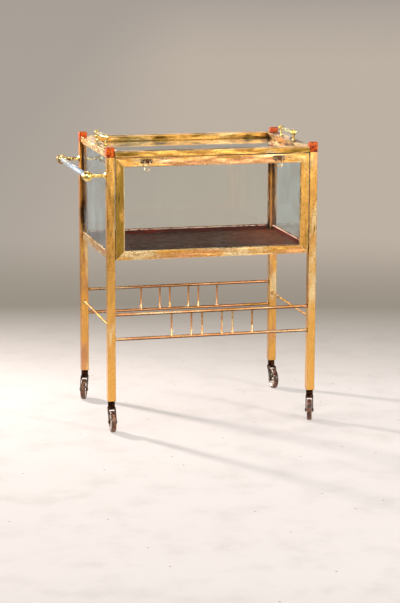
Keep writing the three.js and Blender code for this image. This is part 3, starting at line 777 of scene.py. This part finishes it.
def makeCaps():
    look = postCapLook
    low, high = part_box("post_cap_front_left")
    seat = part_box("post_front_left")[1].z
    width, foot = high.x - low.x, look["footHeight"]
    crown = sum(rise for inset, rise in look["crown"])
    neck = (width - 2 * look["neckInset"]) / width
    form = addBox("capForm", (-width / 2, -width / 2, 0), (width / 2, width / 2, foot))
    # the upright edges are rounded before the head is drawn up from the foot
    edit(form)
    pickEdges(form, lambda start, end: abs(start.z - end.z) > foot / 2)
    bpy.ops.mesh.bevel(offset=look["cornerRadius"], segments=look["cornerSegments"])
    pickFaces(form, lambda normal: normal.z > 0.9)
    headRise = high.z - seat - crown - foot - look["neckHeight"]
    for rise, grow in ((0, neck), (look["neckHeight"], 1), (0, 1 / neck), (headRise, 1)):
        bpy.ops.mesh.extrude_region_move(TRANSFORM_OT_translate={"value": (0, 0, rise)})
        bpy.ops.transform.resize(value=(grow, grow, 1), center_override=(0, 0, 0))
    for inset, rise in look["crown"]:
        bpy.ops.mesh.inset(thickness=inset)
        bpy.ops.transform.translate(value=(0, 0, rise))
    leaveEdit()
    smooth(roundEdges(form, look["edge"], segments=3, angle=28), angle=40)
    for corner in corners:
        low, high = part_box("post_cap_" + corner)
        cap = copyForm(form, "cap_" + corner, ((low.x + high.x) / 2, (low.y + high.y) / 2, seat))
        dress(cap, capResin, "frame", "amber", "post_cap_" + corner)
    dropForms(form)


makeCaps()
for corner in corners:
    metal = brass["frontPostBrass" if "front" in corner else "backPostBrassTarnishAndPaintedShade"]
    dressNode("post_" + corner, frameLook["postEdge"], metal, "frame", "brass", segments=3)
for side in ("front", "back", "left", "right"):
    run = "AlongX" if side in ("front", "back") else "AlongY"
    for rail in ("floor_rail_" + side, "top_rail_" + side):
        metal = brass["stopRailBrassTarnishAndPaintedShade" if rail == "top_rail_front" else "cabinetRailBrass" + run]
        dressNode(rail, frameLook["railEdge"], metal, "frame", "brass")
for pane, glass in (("pane_back", paneGlass), ("pane_left", sideGlass), ("pane_right", sideGlass)):
    dressPane(pane, frameLook["paneEdge"], glass, "frame")
dressNode("cabinet_floor_panel", frameLook["boardEdge"], boardWood, "frame", "burgundy")

beadLook = {
    "thickness": 2.6 * mm, "height": 13 * mm, "gap": 0.3 * mm, "endGap": 4 * mm, "lift": 0.05 * mm,
    "edge": 0.8 * mm,
}


# Lacquered strips inside the fixed panes, standing on the board
def makeBoardBeads():
    look = beadLook
    thick, endGap = look["thickness"], look["endGap"]
    low, high = boardTop + look["lift"], boardTop + look["height"]
    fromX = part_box("pane_left")[1].x + look["gap"]
    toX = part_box("pane_right")[0].x - look["gap"]
    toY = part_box("pane_back")[0].y - look["gap"]
    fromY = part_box("post_front_left")[1].y + endGap
    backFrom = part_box("post_back_left")[1].x + endGap
    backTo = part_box("post_back_right")[0].x - endGap
    sideTo = toY - thick - endGap
    for side, start, end in (
        ("back", (backFrom, toY - thick), (backTo, toY)),
        ("left", (fromX, fromY), (fromX + thick, sideTo)),
        ("right", (toX - thick, fromY), (toX, sideTo)),
    ):
        bead = addBox("board_bead_" + side, (*start, low), (*end, high))
        smooth(roundEdges(bead, look["edge"], segments=3))
        dress(bead, beadWood, "frame", "burgundy")


makeBoardBeads()
print("cabinet dressed")


# Drop-down flap and its pulls

flapLook = {
    "railEdge": 0.6 * mm, "paneEdge": 0.5 * mm, "pinEdge": 0.3 * mm, "plateEdge": 0.35 * mm,
    "ringEdge": 0.1 * mm,
    "beadWidth": 3 * mm, "proud": 0.5 * mm, "sunk": 1.2 * mm, "beadEdge": 0.4 * mm,
    "joint": 0.05 * mm,
}


# The thin strips that hold the flap's pane round its opening, mitred at the corners
def makeFlapBeads():
    look = flapLook
    bottom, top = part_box("flap_rail_bottom"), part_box("flap_rail_top")
    outset = bottom[1].z - bottom[0].z - look["beadWidth"]
    face = bottom[0].y
    low = Vector((bottom[0].x + outset, face - look["proud"], bottom[0].z + outset))
    high = Vector((bottom[1].x - outset, face + look["sunk"], top[1].z - outset))
    rim = addBox("flapBeadForm", low, high)
    edit(rim)
    pickFaces(rim, lambda normal: abs(normal.y) > 0.9)
    bpy.ops.mesh.inset(thickness=look["beadWidth"])
    bpy.ops.mesh.bridge_edge_loops()
    leaveEdit()
    roundEdges(rim, look["beadEdge"], segments=3)
    # the left and right strips are one brass painted lit and in shade, as light falls from the
    # left
    for side, outward, run in (
        ("bottom", -along["z"], "flapBeadBrassAlongX"), ("top", along["z"], "flapRailBrass"),
        ("left", -along["x"], "flapBeadBrassPaintedHighlight"), ("right", along["x"], "flapBeadBrassPaintedShade"),
    ):
        bead = copyForm(rim, "flap_bead_" + side)
        cutMitres(bead, low, high, outward, along["y"], look["joint"])
        dress(smooth(bead), brass[run], "flap", "brass")
    dropForms(rim)


for rail in ("flap_rail_bottom", "flap_rail_top"):
    dressNode(rail, flapLook["railEdge"], brass["flapRailBrass"], "flap", "brass")
dressPane("flap_pane", flapLook["paneEdge"], paneGlass, "flap")
makeFlapBeads()
for side, stileBrass in (("left", "flapStileBrassBrowned"), ("right", "flapStileBrass")):
    for node, edge, metal, slot in (
        ("flap_stile_", "railEdge", brass[stileBrass], "brass"),
        ("flap_pivot_pin_", "pinEdge", brass["flapRailBrass"], "brass"),
        ("pull_plate_", "plateEdge", pullBrass, "pale_brass"),
    ):
        dressNode(node + side, flapLook[edge], metal, "flap", slot)
    dressNode("pull_ring_" + side, flapLook["ringEdge"], brass["rubbedRingBrass"],
              side + "_pull", "pale_brass", segments=1, angle=60)
print("flap dressed")


# Tray and its two rod handles

trayLook = {"railEdge": 0.9 * mm, "paneEdge": 0.6 * mm, "joint": 0.12 * mm}


# The tray frame in its four rails
def makeTrayRails():
    look = trayLook
    low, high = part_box("tray_frame")
    rim = softCopy("tray_frame", look["railEdge"], segments=3)
    for side, outward, run in (
        ("front", -along["y"], "trayRailBrassAlongX"), ("back", along["y"], "trayRailBrassAlongX"),
        # the side rails' cream is partly painted sheen
        ("left", -along["x"], "trayRailBrassPaintedSheenAlongY"), ("right", along["x"], "trayRailBrassSoiledWithPaintedSheen"),
    ):
        rail = copyForm(rim, "tray_rail_" + side)
        cutMitres(rail, low, high, outward, along["z"], look["joint"])
        dress(flatten(smooth(rail)), brass[run], "tray", "brass", "tray_frame")
    dropForms(rim)


makeTrayRails()
dressPane("tray_pane", trayLook["paneEdge"], paneGlass, "tray")

# The stem's and its collar's radii are shares of the knob's
handleLook = {
    "footShare": 0.93, "stemShare": 0.42, "collarShare": 0.62, "grooveShare": 0.88,
    "footHeight": 2 * mm, "dome": 3 * mm, "edge": 0.15 * mm, "stemSides": 28, "knobSides": 36,
}


def makeHandlePosts():
    look = handleLook
    low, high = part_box("tray_handle_post_left_front")
    knob, length = (high.x - low.x) / 2, high.y - low.y
    rise, straight = high.z - low.z - knob, length - look["dome"]
    foot, thin, collar, groove = (
        look[share] * knob for share in ("footShare", "stemShare", "collarShare", "grooveShare")
    )
    stem = addTurned("handleStemForm", [
        (foot, 0), (foot, 0.6 * look["footHeight"]), (0.86 * foot, look["footHeight"]),
        (0.6 * foot, look["footHeight"] + 0.5 * mm), (thin, 0.22 * rise), (thin, 0.44 * rise),
        (collar, 0.5 * rise), (collar, 0.57 * rise), (thin, 0.63 * rise), (thin, rise),
    ], look["stemSides"])
    head = addTurned("handleKnobForm", [
        (0.86 * knob, 0), (knob, 0.8 * mm), (knob, 2.2 * mm), (groove, 2.7 * mm),
        (groove, 3.5 * mm), (knob, 4 * mm), (knob, straight - 0.4 * mm),
        (0.93 * knob, straight + 0.7 * mm), (0.72 * knob, straight + 2 * mm),
        (0.42 * knob, length - 0.3 * mm), (0.1 * knob, length),
    ], look["knobSides"])
    for side in ("left", "right"):
        for end, outward in (("front", -along["y"]), ("back", along["y"])):
            node = f"tray_handle_post_{side}_{end}"
            low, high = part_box(node)
            middle = (low.x + high.x) / 2
            inner = high.y if end == "front" else low.y
            stemY = inner + outward.y * straight / 2
            post = joinPieces(node + "_look", [
                copyForm(stem, node + "_stem", (middle, stemY, low.z)),
                copyForm(head, node + "_knob", (middle, inner, low.z + rise), turnTo(outward)),
            ])
            smooth(roundEdges(post, look["edge"], angle=40), angle=40)
            dress(post, fittingBrass, "tray", "pale_brass", node)
    dropForms(stem, head)


rodLook = {"ease": 1 * mm, "traySides": 40, "pushSides": 48}


# A clear rod with slightly domed ends
def makeRod(node, body, material, sides):
    low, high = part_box(node)
    radius, length, ease = (high.z - low.z) / 2, high.y - low.y, rodLook["ease"]
    middle = (low + high) / 2
    rod = addTurned(node + "_look", [
        (radius - ease, 0), (radius, ease), (radius, length / 2), (radius, length - ease),
        (radius - ease, length),
    ], sides)
    setDown(rod, (middle.x, low.y, middle.z), turnTo(along["y"]))
    return dress(smooth(rod, angle=50), material, body, "clear_rod", node)


for side in ("left", "right"):
    makeRod("tray_handle_rod_" + side, "tray", trayAcrylic, rodLook["traySides"])
makeHandlePosts()
print("tray dressed")


# Push handle

pushLook = {
    "armRadius": 5.2 * mm, "flangeRadius": 8.5 * mm, "collarRadius": 9.5 * mm,
    "collarLength": 8 * mm, "dome": 4 * mm, "fittingSides": 40, "armSides": 28,
    "armInset": 0.7,  # where the arm starts inside the ball, as a share of its radius
}


def makePushBrackets():
    look = pushLook
    low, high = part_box("push_handle_bracket_front")
    body, length = (high.z - low.z) / 2, high.y - low.y
    collar, shoulder, straight = look["collarRadius"], look["collarLength"], length - look["dome"]
    fitting = addTurned("pushFittingForm", [
        (0.86 * collar, 0), (collar, 0.8 * mm), (collar, 2.4 * mm), (0.86 * collar, 3 * mm),
        (0.86 * collar, 4.6 * mm), (collar, 5.4 * mm), (collar, shoulder - 0.6 * mm),
        (0.9 * body, shoulder), (body, shoulder + 1.8 * mm), (body, straight - 2 * mm),
        (0.97 * body, straight - 0.2 * mm), (0.88 * body, straight + 1.2 * mm),
        (0.84 * body, straight + 1.2 * mm), (0.66 * body, length - 1.1 * mm),
        (0.38 * body, length - 0.3 * mm), (0.08 * body, length),
    ], look["fittingSides"])
    arm, flange = look["armRadius"], look["flangeRadius"]
    start, height = low.x + (1 + look["armInset"]) * body, high.z - body
    reach = high.x - start
    bar = addTurned("pushArmForm", [
        (arm, 0), (arm, 7 * mm), (1.18 * arm, 8 * mm), (1.18 * arm, 10 * mm), (arm, 11 * mm),
        (arm, reach - 4 * mm), (1.25 * arm, reach - 3.4 * mm), (flange, reach - 2.2 * mm),
        (flange, reach),
    ], look["armSides"])
    for end, outward, metal in (
        ("front", -along["y"], fittingBrass), ("back", along["y"], backFittingBrass),
    ):
        node = "push_handle_bracket_" + end
        near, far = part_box(node)
        inner = far.y if end == "front" else near.y
        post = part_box("post_" + end + "_left")
        armAt = (start, (post[0].y + post[1].y) / 2, height)
        bracket = joinPieces(node + "_look", [
            copyForm(fitting, node + "_fitting", (low.x + body, inner, height), turnTo(outward)),
            copyForm(bar, node + "_arm", armAt, turnTo(along["x"])),
        ])
        dress(smooth(bracket), metal, "frame", "pale_brass", node)
    dropForms(fitting, bar)


makePushBrackets()
makeRod("push_handle_rod", "frame", pushAcrylic, rodLook["pushSides"])
print("push handle dressed")


# Rack

rackLook = {
    "collar": 1.2 * mm, "collarLength": 4 * mm, "collarEase": 1 * mm, "railSides": 28,
    "spindleRadius": 2.75 * mm, "waistShare": 0.92, "spindleSides": 20,
    "footStep": 1.4 * mm, "footLength": 3 * mm, "footEase": 0.8 * mm, "overlap": 0.2 * mm,
}


# A round rail along a node's box, with the soldered collar at each end
def makeRail(node, name, axis):
    look = rackLook
    low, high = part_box(node)
    radius = min(high.x - low.x, high.y - low.y) / 2
    start = (low + high) / 2
    start.z = low.z + radius
    length = (high - low).dot(axis)
    start -= axis * (start - low).dot(axis)
    wide, end, ease = radius + look["collar"], look["collarLength"], look["collarEase"]
    rail = addTurned(name, [
        (wide, 0), (wide, end - ease), (radius, end), (radius, length / 2), (radius, length - end),
        (wide, length - end + ease), (wide, length),
    ], look["railSides"])
    return setDown(rail, start, turnTo(axis))


def spindlePlaces(node, radius):  # where the lower rail's own spindles stand
    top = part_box(node)[1].z - 1 * mm  # only a spindle has points in the uppermost millimetre
    found = sorted(vertex.co.x for vertex in nodes[node].data.vertices if vertex.co.z > top)
    groups = [[found[0]]]
    for x in found[1:]:
        if x - groups[-1][-1] > 2 * radius:
            groups.append([x])
        groups[-1].append(x)
    return [(group[0] + group[-1]) / 2 for group in groups]


def makeSpindleRails():
    look = rackLook
    thin, foot, ease = look["spindleRadius"], look["footLength"], look["footEase"]
    wide = thin + look["footStep"]
    low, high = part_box("rack_spindle_rail_front")
    base = low.z + 0.9 * (high.y - low.y)  # a little inside the rail's top
    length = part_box("rack_top_rail_front")[0].z + look["overlap"] - base
    spindle = addTurned("spindleForm", [
        (wide, 0), (wide, ease), (thin, foot), (look["waistShare"] * thin, length / 2),
        (thin, length - foot), (wide, length - ease), (wide, length),
    ], look["spindleSides"])
    for side in ("front", "back"):
        node = "rack_spindle_rail_" + side
        low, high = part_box(node)
        pieces = [makeRail(node, node + "_rail", along["x"])]
        for number, x in enumerate(spindlePlaces(node, thin)):
            stand = (x, (low.y + high.y) / 2, base)
            pieces.append(copyForm(spindle, f"{node}_spindle_{number}", stand))
        rail = smooth(joinPieces(node + "_look", pieces))
        dress(rail, brass["rackRodBrassAlongX"], "frame", "brass", node)
    dropForms(spindle)


for node, axis, run in (
    ("rack_top_rail_front", "x", "AlongX"), ("rack_top_rail_back", "x", "AlongX"),
    ("rack_side_rod_left", "y", "AlongY"), ("rack_side_rod_right", "y", "AlongY"),
):
    rail = smooth(makeRail(node, node + "_look", along[axis]))
    dress(rail, brass["rackRodBrass" + run], "frame", "brass", node)
makeSpindleRails()
print("rack dressed")


# Casters: each part is turned or cast, and placed by its joints

wheelLook = {
    "radius": 30 * mm, "width": 14 * mm, "discRadius": 25 * mm, "dish": 4 * mm,
    "hubRadius": 6.5 * mm, "bore": 1.2 * mm, "sides": 60,
}


def makeTyreForm():
    look = wheelLook
    wheel, disc, half = look["radius"], look["discRadius"], look["width"] / 2
    dished = half - look["dish"]
    tyre = addTurned("tyreForm", [
        (disc, -dished), (disc, -half), (wheel - 3 * mm, -half), (wheel - 1 * mm, 1 * mm - half),
        (wheel - 0.2 * mm, 2.4 * mm - half), (wheel, -2 * mm), (wheel, 2 * mm),
        (wheel - 0.2 * mm, half - 2.4 * mm), (wheel - 1 * mm, half - 1 * mm),
        (wheel - 3 * mm, half), (disc, half), (disc, dished),
    ], look["sides"])
    return smooth(tyre, angle=40)


# From the hub's face over the dish, out to the rolled rim, through, and back again
def makeDiscForm():
    look = wheelLook
    disc, hub, half = look["discRadius"], look["hubRadius"], look["width"] / 2
    outside = [
        (look["bore"], 0), (hub, 0), (hub + 0.4 * mm, 1.8 * mm), (hub + 4 * mm, 2.6 * mm),
        (disc - 4 * mm, 1.9 * mm), (disc - 2.6 * mm, 0.7 * mm), (disc - 1.6 * mm, 0.1 * mm),
        (disc - 0.5 * mm, 0.1 * mm), (disc + 0.1 * mm, 0.8 * mm),
    ]
    rings = [(radius, depth - half) for radius, depth in outside]
    rings += [(radius, half - depth) for radius, depth in reversed(outside)]
    return smooth(addTurned("discForm", rings, look["sides"]), angle=30)


axleLook = {"headRadius": 4.2 * mm, "pinRadius": 2.5 * mm, "reach": 12.9 * mm, "sides": 28}


def makeAxleForm():
    look = axleLook
    pin, head, reach = look["pinRadius"], look["headRadius"], look["reach"]
    end = [
        (0.5 * head, 0), (0.85 * head, 0.4 * mm), (head, 1.1 * mm), (head, 1.5 * mm),
        (pin, 1.6 * mm),
    ]
    rings = [(radius, depth - reach) for radius, depth in end]
    rings += [(radius, reach - depth) for radius, depth in reversed(end)]
    return smooth(addTurned("axleForm", rings, look["sides"]), angle=40)


# The housing's rings in millimetres: how far each stands out from it, and how high
forkLook = {
    "edge": 0.6 * mm, "housingRadius": 9.75 * mm, "housingHeight": 19.3 * mm, "sides": 36,
    "rings": (
        (0.1, 0), (1.3, 0.6), (1.3, 2.2), (0.2, 3), (0.2, 9), (0.9, 9.6), (0.9, 10.8),
        (0.2, 11.4), (0.2, 15.4), (0.9, 16.2), (0.9, 18.6), (0.3, 19),
    ),
}


def makeHousingForm():
    look = forkLook
    rings = [(look["housingRadius"] + out * mm, height * mm) for out, height in look["rings"]]
    return addTurned("housingForm", rings, look["sides"])


def makeCasters():
    tyreForm, discForm, axleForm = makeTyreForm(), makeDiscForm(), makeAxleForm()
    housingForm = makeHousingForm()
    for corner in corners:
        roll, swivel = joints[corner + "_roll"], joints[corner + "_swivel"]
        centre, turn = Vector(roll["pos_m"]), turnTo(roll["axis"])
        wheel, fork = "caster_wheel_" + corner, "caster_fork_" + corner
        axle = "caster_axle_" + corner
        tyre = copyForm(tyreForm, "tyre_" + corner, centre, turn)
        dress(tyre, tyreRubber, "wheel_" + corner, "tread", wheel)
        disc = copyForm(discForm, "disc_" + corner, centre, turn)
        dress(disc, discNickel, "wheel_" + corner, "pale_brass")
        seat = Vector(swivel["pos_m"]) - forkLook["housingHeight"] * along["z"]
        whole = joinPieces(fork + "_look", [
            softCopy(fork, forkLook["edge"], segments=3, angle=40),
            copyForm(housingForm, "housing_" + corner, seat),
        ])
        dress(smooth(whole), casterBronze, "fork_" + corner, "bronze", fork)
        pin = copyForm(axleForm, axle + "_look", centre, turn)
        dress(pin, casterBronze, "fork_" + corner, "bronze", axle)
    dropForms(tyreForm, discForm, axleForm, housingForm)


makeCasters()
print("casters dressed")


# Stage, light and camera

# Studio floor, matt with scuffs and specks, its tones painted light and shade: pale round the
# trolley and partly glowing, a painted band of shade and a grey wall painted behind it on the
# flat floor, and painted shade at the front of the room. All of it is fixed to the floor, in
# metres from one point of the room, or across and into the room.
stageLook = {
    "near": "#E5DDD8", "fold": "#9B9286", "left": "#AAA198", "right": "#BDB1A3", "top": "#A89F97",
    "front": "#6E655C", "radius": 80, "sides": 96,
    "glow": 0.6,                                # the share of the pale floor that is its own light
    "roomPoint": (-1.3366, -5.4287, 0), "into": (0.246, 0.969, 0), "across": (0.969, -0.246, 0),
    "glowFrom": 5.55, "poolEdge": 5.85, "wallFrom": 7.05, "foldEdge": 7.15, "wallStart": 8.9,
    "wallEnd": 19.0, "topEdge": 34.0, "dimFrom": 4.15, "dimTo": 2.7,
    "leftEdge": -1.3, "rightEdge": 0.1,
    "marks": (0.12, 0.45, 0.75, 0.16, 5.0),
    "speckSize": 0.26, "speckRim": 0.013, "speckCore": 0.008, "speckShare": 0.9,
}


def makeFloor():
    look = stageLook
    deselectAll()
    bpy.ops.mesh.primitive_circle_add(
        vertices=look["sides"], radius=look["radius"], fill_type="NGON"
    )
    floor = bpy.context.active_object
    floor.name = "studio_floor"
    paint = newMaterial("studioFloorPaintedLightAndShade")
    place = placeOn(paint)
    ahead = addNode(paint, "ShaderNodeVectorMath", {
        "operation": "SUBTRACT", 1: look["roomPoint"],
    }, {0: place})
    away, across, depth = (
        addNode(paint, "ShaderNodeVectorMath", {"operation": operation, 1: other}, {
            0: source,
        }).outputs["Value"]
        for operation, source, other in (
            ("DISTANCE", place, look["roomPoint"]), ("DOT_PRODUCT", place, look["across"]),
            ("DOT_PRODUCT", ahead, look["into"]),
        )
    )
    cells = addNode(paint, "ShaderNodeTexVoronoi", {
        "voronoi_dimensions": "2D", "Scale": 1 / look["speckSize"],
    }, {"Vector": place}).outputs["Distance"]
    shares = {}
    # fold and front are painted shade, and glow is painted light that the floor gives off itself
    for share, value, start, end, least, most, fade in (
        ("speck", cells, "speckRim", "speckCore", 0, look["speckShare"], "LINEAR"),
        ("right", across, "leftEdge", "rightEdge", 0, 1, "SMOOTHSTEP"),
        ("top", away, "wallEnd", "topEdge", 0, 1, "LINEAR"),
        ("wall", away, "wallFrom", "wallStart", 0, 1, "SMOOTHSTEP"),
        ("fold", away, "poolEdge", "foldEdge", 0, 1, "LINEAR"),
        ("front", depth, "dimFrom", "dimTo", 0, 1, "SMOOTHSTEP"),
        ("glow", away, "glowFrom", "foldEdge", look["glow"], 1, "LINEAR"),
    ):
        shares[share] = addNode(paint, "ShaderNodeMapRange", {
            "interpolation_type": fade, "From Min": look[start], "From Max": look[end],
            "To Min": least, "To Max": most,
        }, {"Value": value})
    marks = patches(paint, place, *look["marks"])
    pale = layered(paint, look, "near", (("fold", marks), ("fold", shares["speck"])))
    far = layered(paint, look, "left", (("right", shares["right"]), ("top", shares["top"])))
    paintedFoldAndWall = addNode(paint, "ShaderNodeMix", {"data_type": "RGBA", 6: fromHex(look["fold"])}, {
        0: shares["wall"], 7: far,
    })
    tone = addNode(paint, "ShaderNodeMix", {"data_type": "RGBA"}, {
        0: shares["fold"], 6: pale, 7: paintedFoldAndWall.outputs[2],
    })
    tone = addNode(paint, "ShaderNodeMix", {"data_type": "RGBA", 7: fromHex(look["front"])}, {
        0: shares["front"], 6: tone.outputs[2],
    })
    matt, glow = (
        addNode(paint, kind, None, {"Color": tone.outputs[2]})
        for kind in ("ShaderNodeBsdfDiffuse", "ShaderNodeEmission")
    )
    finish(paint, addNode(paint, "ShaderNodeMixShader", None, {
        0: shares["glow"], 1: matt, 2: glow,
    }))
    floor.data.materials.append(paint)
    return floor


# Each softbox: its place, the point it faces, its two sides in metres, its power and its tint
lamps = {
    "key_back_left": ((-1.35, 1.6, 1.18), (0, 0, 0.45), (0.18, 0.18), 120, "#FFF6F0"),
    "front_above": ((-0.9, -5.4, 3.2), (0, 0, 0.45), (2.6, 1.8), 110, "#FFFFFF"),
    "front_low": ((1.3, -4.3, 0.95), (0, 0, 0.6), (1.8, 1.2), 19, "#FFFFFF"),
    "front_left_window": ((-3.2, -2.0, 1.8), (0, 0, 0.45), (1.4, 1.4), 60, "#FFFFFF"),
    "front_right_fill": ((2.4, -2.9, 1.6), (0, 0, 0.45), (0.35, 0.35), 90, "#FFFFFF"),
    "back_glare": ((0.8, 2.5, 1.42), (0, 0, 0.8), (2.6, 0.4), 8, "#FFF4E4"),
    "overhead": ((0.2, -0.2, 3.0), (0, 0, 0.45), (1.8, 1.8), 30, "#FFFFFF"),
}


def addSoftbox(name, place, target, size, power, tint):
    lamp = bpy.data.lights.new(name, "AREA")
    lamp.shape = "RECTANGLE"
    lamp.size, lamp.size_y = size
    lamp.energy = power
    lamp.color = fromHex(tint)[:3]
    box = bpy.data.objects.new(name, lamp)
    box.location = place
    box.rotation_euler = (Vector(target) - Vector(place)).to_track_quat("-Z", "Y").to_euler()
    box.visible_camera = False
    bpy.context.scene.collection.objects.link(box)
    return box


makeFloor()
for name, settings in lamps.items():
    addSoftbox(name, *settings)

# The room: mid grey walls at eye level under a darker ceiling
skyLook = {
    "wall": "#BDB4A8", "ceiling": "#46413B", "strength": 0.8, "wallTop": 0.04, "ceilingFrom": 0.42,
}


def makeSky():
    look = skyLook
    world = bpy.context.scene.world or bpy.data.worlds.new("studio")
    bpy.context.scene.world = world
    world.use_nodes = True
    sky = world.node_tree.nodes["Background"]
    direction = addNode(world, "ShaderNodeTexCoord").outputs["Generated"]
    height = addNode(world, "ShaderNodeSeparateXYZ", None, {"Vector": direction}).outputs["Z"]
    share = addNode(world, "ShaderNodeMapRange", {
        "From Min": look["wallTop"], "From Max": look["ceilingFrom"],
    }, {"Value": height})
    tint = layered(world, look, "wall", (("ceiling", share),))
    world.node_tree.links.new(tint, sky.inputs["Color"])
    sky.inputs["Strength"].default_value = look["strength"]


makeSky()

# The camera that took the photograph, as solved from it: metres, degrees and pixels
cameraLook = {
    "place": (-1.336562, -5.428668, 1.43345), "yaw": 14.25, "pitch": 11.24, "roll": 0.17,
    "focalPixels": 1963.06, "longSidePixels": 603, "sensor": 36,
}


def makeCamera():
    look = cameraLook
    yaw, pitch, roll = (math.radians(look[key]) for key in ("yaw", "pitch", "roll"))
    level = Vector((math.cos(yaw), -math.sin(yaw), 0))
    heading = Vector((math.sin(yaw), math.cos(yaw), 0))
    ahead = heading * math.cos(pitch) - along["z"] * math.sin(pitch)
    upward = level.cross(ahead)
    right = level * math.cos(roll) + upward * math.sin(roll)
    top = -level * math.sin(roll) + upward * math.cos(roll)
    data = bpy.data.cameras.new("photoCamera")
    data.sensor_width = look["sensor"]
    data.lens = look["focalPixels"] * look["sensor"] / look["longSidePixels"]
    camera = bpy.data.objects.new("photoCamera", data)
    bpy.context.scene.collection.objects.link(camera)
    turn = Matrix((right, top, -ahead)).transposed().to_4x4()
    camera.matrix_world = Matrix.Translation(look["place"]) @ turn
    bpy.context.scene.camera = camera


makeCamera()
bpy.context.scene.view_settings.view_transform = "Standard"
print("stage, light and camera set")
